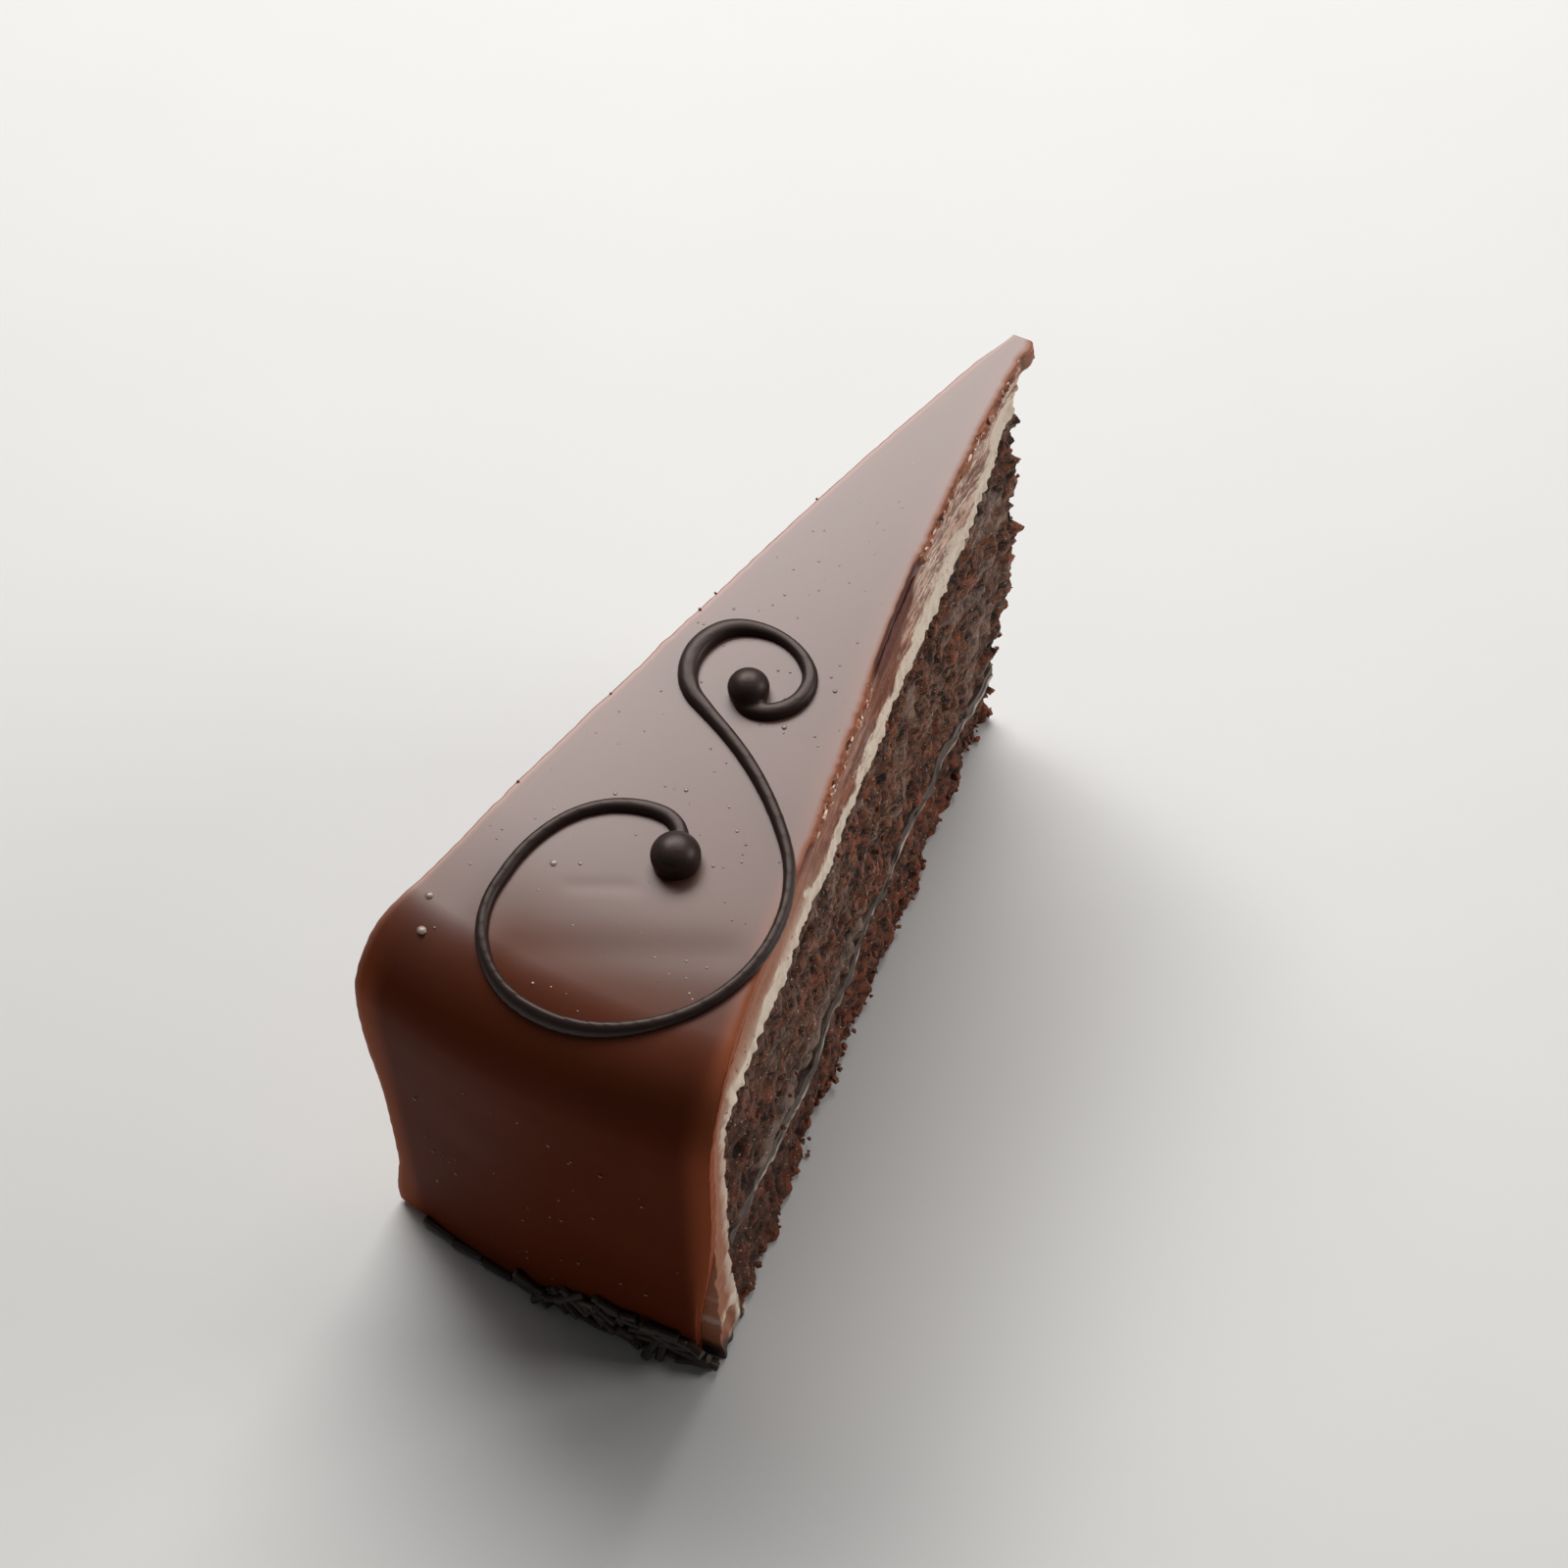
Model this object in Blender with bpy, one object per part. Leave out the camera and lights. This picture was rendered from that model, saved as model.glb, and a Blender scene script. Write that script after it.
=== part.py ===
"""A wedge cut from a round chocolate layer cake, standing on its base.

Two chocolate sponges with a thin filling between them lie under a coat of
cream and a poured chocolate glaze. Chocolate sprinkles stick to the foot of the
glaze, and a piped chocolate scroll lies on its top.

Lengths are in metres. The tip points to +Y, the rounded rim to -Y, the table is
z = 0, and the origin is under the middle of the slice.
"""
import math
import random

import bmesh
import bpy
from mathutils import Matrix, Vector, noise

MM = 0.001
GAP = 0.3 * MM                       # left between pieces that touch on the cake

# The wedge, seen from above
CAKE_RADIUS = 120 * MM
SLICE_ANGLE = math.radians(22.5)     # a sixteenth of the cake
CENTRE_Y = 60 * MM                   # the cake's centre
TIP_START = 1.5 * MM                 # the blunt tip, measured from the cake's centre
TIP_SWELL = 1.3 * MM                 # extra half width that the soft tip has
SWELL_REACH = 25 * MM
TIP_UNDERCUT = 3.2 * MM              # the sponge's tip is drawn in towards its base
TIP_LEAN = 3.2 * MM                  # the knife pushed the tip towards +X
LEAN_REACH = 55 * MM
ROUND_FROM = 12 * MM                 # the layers' ends turn from straight to round
ROUND_TO = 45 * MM

# The outline of the glaze, from the tip over the shoulder to the foot
TOP_SLOPE = math.radians(6.1)
SHOULDER_RADIUS = 12 * MM
SHOULDER_CENTRE_R = CAKE_RADIUS - SHOULDER_RADIUS
SHOULDER_CENTRE_Z = 48.7 * MM
TOP_SHARE = 0.66                     # share of an outline's rows on the top
SHOULDER_SHARE = 0.82                # share on the top and the shoulder
GLAZE_ON_TOP = 2.3 * MM
GLAZE_ON_SIDE = 1.7 * MM
GLAZE_FOOT_Z = 0.8 * MM

# The sponge, the filling and the cream's foot
SPONGE_TOP_Z = 50.6 * MM
SPONGE_TIP_RISE = 8.2 * MM
TIP_RISE_FROM = 36 * MM
TIP_RISE_TO = 8 * MM
SPONGE_CORNER = 5 * MM
SPONGE_RADIUS = 114 * MM
FOOT_THICKENING = 3 * MM             # the cream is this much thicker at its foot
FOOT_REACH = 24 * MM
FILLING_TIP_Z = 8.5 * MM              # the filling's underside
FILLING_CLIMB = 0.052                # its rise for each metre from the tip
FILLING_RIM_RISE = 7.0 * MM          # the sponge below was cut thicker at the rim
FILLING_WAVE = 0.6 * MM
FILLING_WAVE_LENGTH = 18 * MM
FILLING_WANDER = 1.4 * MM            # uneven rises and dips on top of the waves
FILLING_THICKNESS = 2.2 * MM

# The sprinkles at the foot
SPRINKLE_RADIUS = 0.62 * MM
SPRINKLE_LENGTHS = (4.0 * MM, 5.6 * MM)
SPRINKLE_SIDES = 7
FOOT_ROW_COUNT = 9
FOOT_ROW_SIDES = (-0.745, 0.90)
PILE_COUNT = 36
PILE_SIDES = (-0.12, 0.93)
LAID_RODS = (                        # their two ends in mm
    ((16.0, -58.9, 3.5), (14.9, -61.3, 0.65)),
    ((16.6, -59.0, 2.6), (16.7, -60.6, 0.65)),
    ((11.2, -59.6, 0.65), (13.8, -60.2, 0.65)),
    ((2.8, -60.4, 4.0), (7.5, -59.9, 4.2)),
    ((18.4, -59.4, 0.7), (23.6, -57.4, 0.7)),
)

# The piped scroll, as a chain of arcs that starts in its small pearl
SCROLL_START = (-0.65 * MM, -66.1 * MM)  # from the cake's centre
SCROLL_HEADING = math.radians(-115)
SCROLL_RUNS = (                      # length in mm, turn in degrees
    (4.5, 119), (11.5, 135), (10.5, 65), (3, 33), (11.5, 98), (5.5, 0), (17.5, -22),
    (33.5, -105), (13, -38), (16, -82), (1.5, 2), (8.5, -27), (12.5, -61), (7, -92),
)
SCROLL_HALF_WIDTHS = (               # share of the length, half width in mm
    (0, 1.1), (0.06, 1.2), (0.13, 0.9), (0.21, 1.5), (0.30, 0.95),
    (0.45, 0.85), (0.62, 0.9), (0.85, 0.9), (1, 1.1),
)
SCROLL_STATIONS = 96
SCROLL_SIDES = 8
SCROLL_FLATNESS = 0.84               # height against width
SMALL_PEARL = (2.55 * MM, 1.75 * MM)  # half width and half height
LARGE_PEARL = (2.95 * MM, 2.05 * MM)
SMALL_PEARL_SHIFT = (0.5 * MM, -0.9 * MM)  # from the line's end
LARGE_PEARL_SHIFT = (0.15 * MM, -0.25 * MM)

# Rows that each layer is cut into: along its outline, through it, across it
GLAZE_ROWS = (50, 2, 8)
CREAM_ROWS = (54, 4, 2)
TOP_SPONGE_ROWS = (58, 13, 2)
FILLING_ROWS = (40, 2, 2)
BASE_SPONGE_ROWS = (56, 6, 2)


def mix(low, high, share):
    return low + (high - low) * share


def clamped(value):
    return min(max(value, 0.0), 1.0)


def smooth(low, high, value):
    """Runs from 0 at low to 1 at high with soft ends."""
    share = clamped((value - low) / (high - low))
    return share * share * (3 - 2 * share)


def hump(low, high, value, edge):
    """1 between low and high, falling to 0 over the edge outside them."""
    return smooth(low - edge, low, value) * (1 - smooth(high, high + edge, value))


def crumb_noise(x, y, grain, seed):
    return noise.noise(Vector((x / grain, y / grain, seed)))


def clear_scene():
    for obj in list(bpy.data.objects):
        bpy.data.objects.remove(obj, do_unlink=True)


def plain_material(name, colour, roughness):
    material = bpy.data.materials.new(name)
    material.use_nodes = True
    shader = material.node_tree.nodes["Principled BSDF"]
    shader.inputs["Base Color"].default_value = (*colour, 1)
    shader.inputs["Roughness"].default_value = roughness
    shader.inputs["Metallic"].default_value = 0.0
    return material


def add_object(name, bm, material, sharp_degrees=35):
    """Turns a bmesh into a named, smooth shaded object with its material."""
    mesh = bpy.data.meshes.new(name)
    bm.to_mesh(mesh)
    bm.free()
    mesh.shade_smooth()
    mesh.set_sharp_from_angle(angle=math.radians(sharp_degrees))
    obj = bpy.data.objects.new(name, mesh)
    bpy.context.scene.collection.objects.link(obj)
    mesh.materials.append(material)
    return obj


def half_width(r):
    """Half the slice's width at a distance from the cake's centre."""
    return r * math.sin(SLICE_ANGLE / 2) + TIP_SWELL * math.exp(-r / SWELL_REACH)


def placed(r, side, z, relief=0.0):
    """A point of the slice. side runs from -1 at the left cut to 1 at the right one."""
    x = side * half_width(r)
    roundness = smooth(ROUND_FROM, ROUND_TO, r)
    forward = mix(r, math.sqrt(max(r * r - x * x, 0)), roundness)
    lean = TIP_LEAN * clamped(1 - r / LEAN_REACH) ** 2
    return Vector((x + lean + side * relief, CENTRE_Y - forward, z))


def cut_block(rows):
    """A unit cube cut into rows along each axis."""
    bm = bmesh.new()
    bmesh.ops.create_cube(bm, size=1, matrix=Matrix.Translation((0.5, 0.5, 0.5)))
    for axis, count in enumerate(rows):
        normal = Vector((axis == 0, axis == 1, axis == 2))
        for step in range(1, count):
            everything = bm.verts[:] + bm.edges[:] + bm.faces[:]
            bmesh.ops.bisect_plane(
                bm, geom=everything, plane_co=normal * (step / count), plane_no=normal)
    return bm


def layer(name, rows, shape, material):
    """Bends a cut block into a layer: shape(along, up, side) gives each point."""
    bm = cut_block(rows)
    for vert in bm.verts:
        along, up, across = vert.co
        vert.co = shape(along, up, mix(1, -1, across))
    return add_object(name, bm, material)


def coat_outline(along, depth, foot_z):
    """Radius and height of a point below the glaze's outer face."""
    radius = SHOULDER_RADIUS - depth
    top_end_r = SHOULDER_CENTRE_R + radius * math.sin(TOP_SLOPE)
    top_end_z = SHOULDER_CENTRE_Z + radius * math.cos(TOP_SLOPE)
    if along <= TOP_SHARE:
        r = mix(TIP_START, top_end_r, along / TOP_SHARE)
        return r, top_end_z + (top_end_r - r) * math.tan(TOP_SLOPE)
    if along <= SHOULDER_SHARE:
        share = (along - TOP_SHARE) / (SHOULDER_SHARE - TOP_SHARE)
        angle = mix(TOP_SLOPE, math.pi / 2, share)
        return (SHOULDER_CENTRE_R + radius * math.sin(angle),
                SHOULDER_CENTRE_Z + radius * math.cos(angle))
    share = (along - SHOULDER_SHARE) / (1 - SHOULDER_SHARE)
    return CAKE_RADIUS - depth, mix(SHOULDER_CENTRE_Z, foot_z, share)


def sponge_top(r):
    """Height of the sponge at a radius, with its rounded rim."""
    z = SPONGE_TOP_Z + SPONGE_TIP_RISE * smooth(TIP_RISE_FROM, TIP_RISE_TO, r)
    into_corner = clamped((r - SPONGE_RADIUS + SPONGE_CORNER) / SPONGE_CORNER)
    return z - SPONGE_CORNER * (1 - math.sqrt(1 - into_corner ** 2))


def sponge_rim(z):
    """Radius of the sponge's rim at a height: the cream's foot is thicker."""
    return SPONGE_RADIUS - FOOT_THICKENING * clamped(1 - z / FOOT_REACH) ** 2


def sponge_outline(along, gap):
    """A point of the cream's inner face, a gap outside the sponge."""
    if along <= TOP_SHARE:
        r = mix(TIP_START, SPONGE_RADIUS - SPONGE_CORNER, along / TOP_SHARE)
        return r, sponge_top(r) + gap
    if along <= SHOULDER_SHARE:
        share = (along - TOP_SHARE) / (SHOULDER_SHARE - TOP_SHARE)
        angle = share * math.pi / 2
        reach = SPONGE_CORNER + gap
        return (SPONGE_RADIUS - SPONGE_CORNER + reach * math.sin(angle),
                SPONGE_TOP_Z - SPONGE_CORNER + reach * math.cos(angle))
    share = (along - SHOULDER_SHARE) / (1 - SHOULDER_SHARE)
    z = mix(SPONGE_TOP_Z - SPONGE_CORNER, 0, share)
    return sponge_rim(z) + gap, z


def filling_bottom(r):
    """The filling climbs in soft waves, and steeply at the rim."""
    wave = FILLING_WAVE * math.sin(2 * math.pi * (r + 1.5 * MM) / FILLING_WAVE_LENGTH)
    wander = FILLING_WANDER * crumb_noise(r, 0, 13 * MM, 51.0)
    rim_rise = FILLING_RIM_RISE * smooth(84 * MM, SPONGE_RADIUS, r)
    return FILLING_TIP_Z + FILLING_CLIMB * r + rim_rise + wave + wander


def sponge_start(z):
    """Where the crumb's tip begins: further back near the base."""
    return TIP_START + TIP_UNDERCUT * smooth(26 * MM, 6 * MM, z)


def glaze_depth(along):
    return mix(GLAZE_ON_TOP, GLAZE_ON_SIDE, smooth(TOP_SHARE, SHOULDER_SHARE, along))


def glaze_relief(r, z, up, side):
    """The glaze's cut edge: a chipped lip, a clean recess, a lip again, a drawn-in foot."""
    seed = 3.0 + side
    chips = crumb_noise(r, z, 3.1 * MM, seed) * 0.7 * MM
    lip = hump(3 * MM, 39 * MM, r, 2 * MM) * (0.5 * MM + chips) * smooth(-0.5, 0.5, side)
    recess = hump(43 * MM, 58 * MM, r, 2 * MM) * (1 - up) * 0.8 * MM
    late_lip = hump(64 * MM, 94 * MM, r, 8 * MM) * (0.5 * MM + 0.5 * chips)
    tip = smooth(9 * MM, 2 * MM, r)
    shoulder = smooth(106 * MM, 116 * MM, r) * smooth(26 * MM, 40 * MM, z)
    on_rim = smooth(110 * MM, 116 * MM, r)
    if side > 0:
        corners = 0.4 * tip + 0.4 * shoulder - 2.5 * on_rim * smooth(32 * MM, 4 * MM, z)
    else:
        corners = 0.9 * shoulder - 0.6 * tip + 1.7 * on_rim * smooth(14 * MM, 2 * MM, z)
    return lip - recess + late_lip + corners * MM


def cream_relief(r, z, up, side):
    """The knife left a ridge along the cream's lower edge and hollows above it."""
    on_top = smooth(48 * MM, 52 * MM, z)
    ridge = hump(0.0, 0.25, up, 0.2) * 0.5 * MM * on_top
    hollow = hump(0.5, 0.75, up, 0.25) * 0.3 * MM * on_top
    tip_hollow = smooth(16 * MM, 3 * MM, r) * smooth(0.9, 0.3, up) * 2.0 * MM
    drag = crumb_noise(r, z * 3, 9 * MM, 11.0 + side) * 0.35 * MM
    foot = smooth(14 * MM, 2 * MM, z) * 0.5 * MM
    return ridge - hollow - tip_hollow + drag + foot


def crumb_relief(r, z, side):
    """Crags of the torn crumb, with a crumbly edge at the base."""
    seed = 21.0 + side
    coarse = crumb_noise(r, z, 6.0 * MM, seed) * 0.9 * MM
    fine = crumb_noise(r, z, 2.3 * MM, seed + 5) * 0.9 * MM
    bulge = hump(0.0, 8 * MM, r, 14 * MM) * hump(25 * MM, 46 * MM, z, 5 * MM) * 0.6 * MM
    base_edge = smooth(3 * MM, 0.5 * MM, z)
    base_crumbs = base_edge * (0.2 * MM + crumb_noise(r, 0.0, 5.0 * MM, seed + 9) * 1.2 * MM)
    spread = 1.1 * smooth(10 * MM, 20 * MM, r) + 0.7 * hump(40 * MM, 52 * MM, r, 14 * MM)
    flare = smooth(16 * MM, 1 * MM, z) * (spread - 0.8 * smooth(66 * MM, 84 * MM, r)) * MM
    drawn_in = smooth(50 * MM, 57 * MM, z) * smooth(14 * MM, 4 * MM, r) * 1.4 * MM
    return coarse + fine + bulge + base_crumbs + flare - drawn_in


def tip_relief(z, side):
    """Crags on the blunt tip."""
    return crumb_noise(side * MM, z, 3.0 * MM, 41.0) * 0.8 * MM


def make_glaze(material):
    def shape(along, up, side):
        depth = glaze_depth(along) * (1 - up)
        r, z = coat_outline(along, depth, GLAZE_FOOT_Z)
        return placed(r, side, z, glaze_relief(r, z, up, side))
    return layer("glaze", GLAZE_ROWS, shape, material)


def make_cream(material):
    def shape(along, up, side):
        inner_r, inner_z = sponge_outline(along, GAP)
        outer_r, outer_z = coat_outline(along, glaze_depth(along) + GAP, 0.0)
        r = mix(inner_r, outer_r, up)
        z = mix(inner_z, outer_z, up)
        return placed(r, side, z, cream_relief(r, z, up, side))
    return layer("cream", CREAM_ROWS, shape, material)


def sponge_shape(bottom, top):
    """The points of a sponge between two heights that depend on the radius."""
    def shape(along, up, side):
        r = mix(TIP_START, SPONGE_RADIUS, along)
        z = mix(bottom(r), top(r), up)
        r = mix(sponge_start(z), sponge_rim(z), along)
        outward = tip_relief(z, side) * smooth(0.03, 0.0, along)
        return placed(r - outward, side, z, crumb_relief(r, z, side))
    return shape


def make_top_sponge(material):
    def bottom(r):
        return filling_bottom(r) + FILLING_THICKNESS + GAP
    return layer("sponge_top", TOP_SPONGE_ROWS, sponge_shape(bottom, sponge_top), material)


def make_filling(material):
    def shape(along, up, side):
        r = mix(TIP_START, SPONGE_RADIUS, along)
        z = filling_bottom(r) + FILLING_THICKNESS * up
        r = mix(sponge_start(z), sponge_rim(z), along)
        smear = crumb_noise(r, z, 7 * MM, 31.0 + side) * 0.5 * MM
        return placed(r, side, z, smear)
    return layer("filling", FILLING_ROWS, shape, material)


def make_base_sponge(material):
    def bottom(r):
        return 0.0

    def top(r):
        return filling_bottom(r) - GAP
    return layer("sponge_base", BASE_SPONGE_ROWS, sponge_shape(bottom, top), material)


def join_by_union(obj, others):
    """Fuses the other objects into one by a Boolean union and removes them."""
    group = bpy.data.collections.new(obj.name + "_parts")
    bpy.context.scene.collection.children.link(group)
    for other in others:
        group.objects.link(other)
    union = obj.modifiers.new("union", "BOOLEAN")
    union.operation = "UNION"
    union.operand_type = "COLLECTION"
    union.collection = group
    union.solver = "EXACT"
    with bpy.context.temp_override(object=obj):
        bpy.ops.object.modifier_apply(modifier=union.name)
    for other in others:
        bpy.data.objects.remove(other, do_unlink=True)
    bpy.data.collections.remove(group)


def keep_largest_piece(obj):
    """Drops loose scraps, such as a sprinkle that touches nothing."""
    bm = bmesh.new()
    bm.from_mesh(obj.data)
    unseen = set(bm.verts)
    pieces = []
    while unseen:
        piece = set()
        waiting = [unseen.pop()]
        while waiting:
            vert = waiting.pop()
            piece.add(vert)
            for edge in vert.link_edges:
                other = edge.other_vert(vert)
                if other in unseen:
                    unseen.discard(other)
                    waiting.append(other)
        pieces.append(piece)
    pieces.sort(key=len)
    scraps = [vert for piece in pieces[:-1] for vert in piece]
    bmesh.ops.delete(bm, geom=scraps, context="VERTS")
    bm.to_mesh(obj.data)
    bm.free()


def rod_ends(side, z, stand_off, yaw, tilt, length):
    """The two ends of a rod that lies against the foot: side places it round the rim."""
    inward_reach = abs(math.sin(yaw)) * length / 2 + SPRINKLE_RADIUS
    r = max(CAKE_RADIUS + stand_off, CAKE_RADIUS - GLAZE_ON_SIDE + 0.8 * MM + inward_reach)
    angle = side * SLICE_ANGLE / 2
    z = max(z, abs(math.sin(tilt)) * length / 2 + SPRINKLE_RADIUS + 0.05 * MM)
    middle = Vector((r * math.sin(angle), CENTRE_Y - r * math.cos(angle), z))
    turned = Matrix.Rotation(angle + yaw, 3, "Z") @ Matrix.Rotation(tilt, 3, "Y")
    half = turned @ Vector((length / 2, 0, 0))
    return middle - half, middle + half


def pile_top(side):
    """Height of the loose pile: it climbs from the middle and falls at the right corner."""
    return (2.7 + 4.4 * smooth(0.0, 0.24, side) - 3.4 * smooth(0.86, 0.96, side)) * MM


def sprinkle_rods():
    """One row end to end along the foot, a pile on its right half and some rods laid singly."""
    draw = random.Random(5)
    rods = []
    for index in range(FOOT_ROW_COUNT):
        side = mix(*FOOT_ROW_SIDES, index / (FOOT_ROW_COUNT - 1))
        rods.append(rod_ends(
            side, 0.67 * MM, draw.uniform(0.2, 0.45) * MM, draw.uniform(-0.12, 0.12),
            draw.uniform(-0.05, 0.05), draw.uniform(4.4 * MM, 5.2 * MM)))
    for index in range(PILE_COUNT):
        side = mix(*PILE_SIDES, (index + 0.5) / PILE_COUNT)
        z = mix(1.5 * MM, pile_top(side) - 0.7 * MM, draw.random())
        rods.append(rod_ends(
            side, z, draw.uniform(0.1, 0.5) * MM, draw.uniform(-0.4, 0.4),
            draw.uniform(-0.7, 0.7), draw.uniform(*SPRINKLE_LENGTHS)))
    rods += [(Vector(start) * MM, Vector(end) * MM) for start, end in LAID_RODS]
    return rods


def make_sprinkles(material):
    sprinkles = []
    for start, end in sprinkle_rods():
        run = end - start
        turn = run.to_track_quat("Z", "Y").to_matrix().to_4x4()
        bm = bmesh.new()
        bmesh.ops.create_cone(
            bm, cap_ends=True, segments=SPRINKLE_SIDES, depth=run.length,
            radius1=SPRINKLE_RADIUS, radius2=SPRINKLE_RADIUS * 0.92,
            matrix=Matrix.Translation((start + end) / 2) @ turn)
        sprinkles.append(add_object("sprinkle", bm, material))
    return sprinkles


def along_arc(x, y, heading, length, turn):
    """Where an arc ends that leaves a point on a heading and turns evenly."""
    chord = length * (math.sin(turn / 2) / (turn / 2) if turn else 1.0)
    middle = heading + turn / 2
    return x + chord * math.cos(middle), y + chord * math.sin(middle), heading + turn


def scroll_point(share):
    """Position and heading at a share of the scroll's length."""
    left = share * sum(length for length, turn in SCROLL_RUNS) * MM
    spot = (*SCROLL_START, SCROLL_HEADING)
    for length, turn in SCROLL_RUNS:
        used = min(left, length * MM)
        spot = along_arc(*spot, used, math.radians(turn) * used / (length * MM))
        left -= used
    return spot


def scroll_half_width(share):
    for (low, low_width), (high, high_width) in zip(SCROLL_HALF_WIDTHS, SCROLL_HALF_WIDTHS[1:]):
        if share <= high:
            return mix(low_width, high_width, smooth(low, high, share)) * MM
    return SCROLL_HALF_WIDTHS[-1][1] * MM


def top_surface(x, y):
    """Height of the glaze at a point given from the cake's centre."""
    r = math.hypot(x, y)
    top_end_r = SHOULDER_CENTRE_R + SHOULDER_RADIUS * math.sin(TOP_SLOPE)
    if r <= top_end_r:
        top_end_z = SHOULDER_CENTRE_Z + SHOULDER_RADIUS * math.cos(TOP_SLOPE)
        return top_end_z + (top_end_r - r) * math.tan(TOP_SLOPE)
    drop = SHOULDER_RADIUS ** 2 - (r - SHOULDER_CENTRE_R) ** 2
    return SHOULDER_CENTRE_Z + math.sqrt(max(drop, 0))


def make_pearl(name, x, y, size, shift, material):
    half_wide, half_high = size
    x += shift[0]
    y += shift[1]
    bm = bmesh.new()
    bmesh.ops.create_uvsphere(bm, u_segments=12, v_segments=8, radius=half_wide)
    squeeze = Matrix.Diagonal((1, 1, half_high / half_wide, 1))
    lift = top_surface(x, y) + half_high + GAP
    spot = Matrix.Translation((x, CENTRE_Y + y, lift))
    bmesh.ops.transform(bm, matrix=spot @ squeeze, verts=bm.verts)
    return add_object(name, bm, material)


def make_scroll(material):
    """A flattened rod that follows the chain of arcs, with a pearl at each end."""
    bm = bmesh.new()
    bmesh.ops.create_cone(
        bm, cap_ends=True, segments=SCROLL_SIDES, radius1=1, radius2=1, depth=1,
        matrix=Matrix.Translation((0, 0, 0.5)) @ Matrix.Rotation(math.pi / SCROLL_SIDES, 4, "Z"))
    for station in range(1, SCROLL_STATIONS):
        everything = bm.verts[:] + bm.edges[:] + bm.faces[:]
        bmesh.ops.bisect_plane(
            bm, geom=everything, plane_co=(0, 0, station / SCROLL_STATIONS), plane_no=(0, 0, 1))
    for vert in bm.verts:
        x, y, heading = scroll_point(vert.co.z)
        half_wide = scroll_half_width(vert.co.z)
        aside = vert.co.x * half_wide
        x -= aside * math.sin(heading)
        y += aside * math.cos(heading)
        half_high = half_wide * SCROLL_FLATNESS
        z = top_surface(x, y) + GAP + half_high * (1 + vert.co.y)
        vert.co = (x, CENTRE_Y + y, z)
    scroll = add_object("scroll", bm, material)
    small = make_pearl(
        "small_pearl", *scroll_point(0)[:2], SMALL_PEARL, SMALL_PEARL_SHIFT, material)
    large = make_pearl(
        "large_pearl", *scroll_point(1)[:2], LARGE_PEARL, LARGE_PEARL_SHIFT, material)
    join_by_union(scroll, [small, large])
    return scroll


def build():
    clear_scene()
    glaze_finish = plain_material("glaze", (0.085, 0.028, 0.017), 0.32)
    make_base_sponge(plain_material("base_sponge", (0.085, 0.037, 0.024), 0.95))
    make_filling(plain_material("filling", (0.16, 0.13, 0.11), 0.6))
    make_top_sponge(plain_material("top_sponge", (0.055, 0.036, 0.028), 0.95))
    make_cream(plain_material("cream", (0.42, 0.29, 0.20), 0.55))
    glaze = make_glaze(glaze_finish)
    join_by_union(glaze, make_sprinkles(glaze_finish))
    keep_largest_piece(glaze)
    make_scroll(plain_material("dark_chocolate", (0.02, 0.012, 0.009), 0.35))


build()
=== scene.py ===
"""The looks of a wedge of glazed chocolate layer cake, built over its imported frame.

Lengths are in metres. The tip points to +Y, the rounded rim to -Y, and the table is z = 0.
Each layer is a block that is cut into fine rows and bent into the wedge with the crags, chips
and knife marks of its cut faces. The marks that a layer's finish reads are kept on its points.
"""
import math
import random

import bpy
from bpy.props import FloatProperty, FloatVectorProperty, IntProperty, PointerProperty
from mathutils import Matrix, Quaternion, Vector, noise


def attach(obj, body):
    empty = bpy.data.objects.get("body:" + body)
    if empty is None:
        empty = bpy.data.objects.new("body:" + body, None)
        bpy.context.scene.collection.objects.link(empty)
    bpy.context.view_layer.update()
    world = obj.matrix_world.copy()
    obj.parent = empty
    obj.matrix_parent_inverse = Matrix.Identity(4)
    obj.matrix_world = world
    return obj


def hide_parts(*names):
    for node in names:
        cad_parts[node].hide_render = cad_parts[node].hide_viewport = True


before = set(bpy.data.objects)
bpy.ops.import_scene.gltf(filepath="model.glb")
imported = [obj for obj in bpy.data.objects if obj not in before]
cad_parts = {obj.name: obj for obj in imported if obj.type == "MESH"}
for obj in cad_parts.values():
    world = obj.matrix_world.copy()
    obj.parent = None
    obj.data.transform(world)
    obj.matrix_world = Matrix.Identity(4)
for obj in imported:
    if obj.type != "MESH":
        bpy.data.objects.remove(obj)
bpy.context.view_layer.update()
noise.seed_set(4)                    # so that the crags are the same each run

bl_info = {
    "name": "Chocolate Cake Slice",
    "version": (1, 0, 0),
    "blender": (4, 5, 0),
    "location": "3D View > Sidebar > Cake Slice",
    "description": "Models a glazed slice of chocolate layer cake over its packed frame",
    "category": "Mesh",
}

MM = 0.001

# The wedge, seen from above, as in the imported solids
CAKE_RADIUS = 120 * MM
SLICE_ANGLE = math.radians(22.5)
CENTRE_Y = 60 * MM
TIP_START = 1.5 * MM
TIP_SWELL = 1.3 * MM
SWELL_REACH = 25 * MM
TIP_UNDERCUT = 3.2 * MM
TIP_LEAN = 3.2 * MM
LEAN_REACH = 55 * MM
ROUND_FROM = 12 * MM
ROUND_TO = 45 * MM

# The outline of the glaze, from the tip over the shoulder to the foot
TOP_SLOPE = math.radians(6.1)
SHOULDER_RADIUS = 12 * MM
SHOULDER_CENTRE_R = CAKE_RADIUS - SHOULDER_RADIUS
SHOULDER_CENTRE_Z = 48.7 * MM
TOP_SHARE = 0.66
SHOULDER_SHARE = 0.82
GLAZE_ON_TOP = 2.3 * MM
GLAZE_ON_SIDE = 1.7 * MM
GLAZE_FOOT_Z = 0.8 * MM
SKIN_FROM_Z = 54 * MM                # the satin skin fades out over the shoulder
SKIN_FULL_Z = 61 * MM
SKIN_IOR = 1.8

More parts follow.
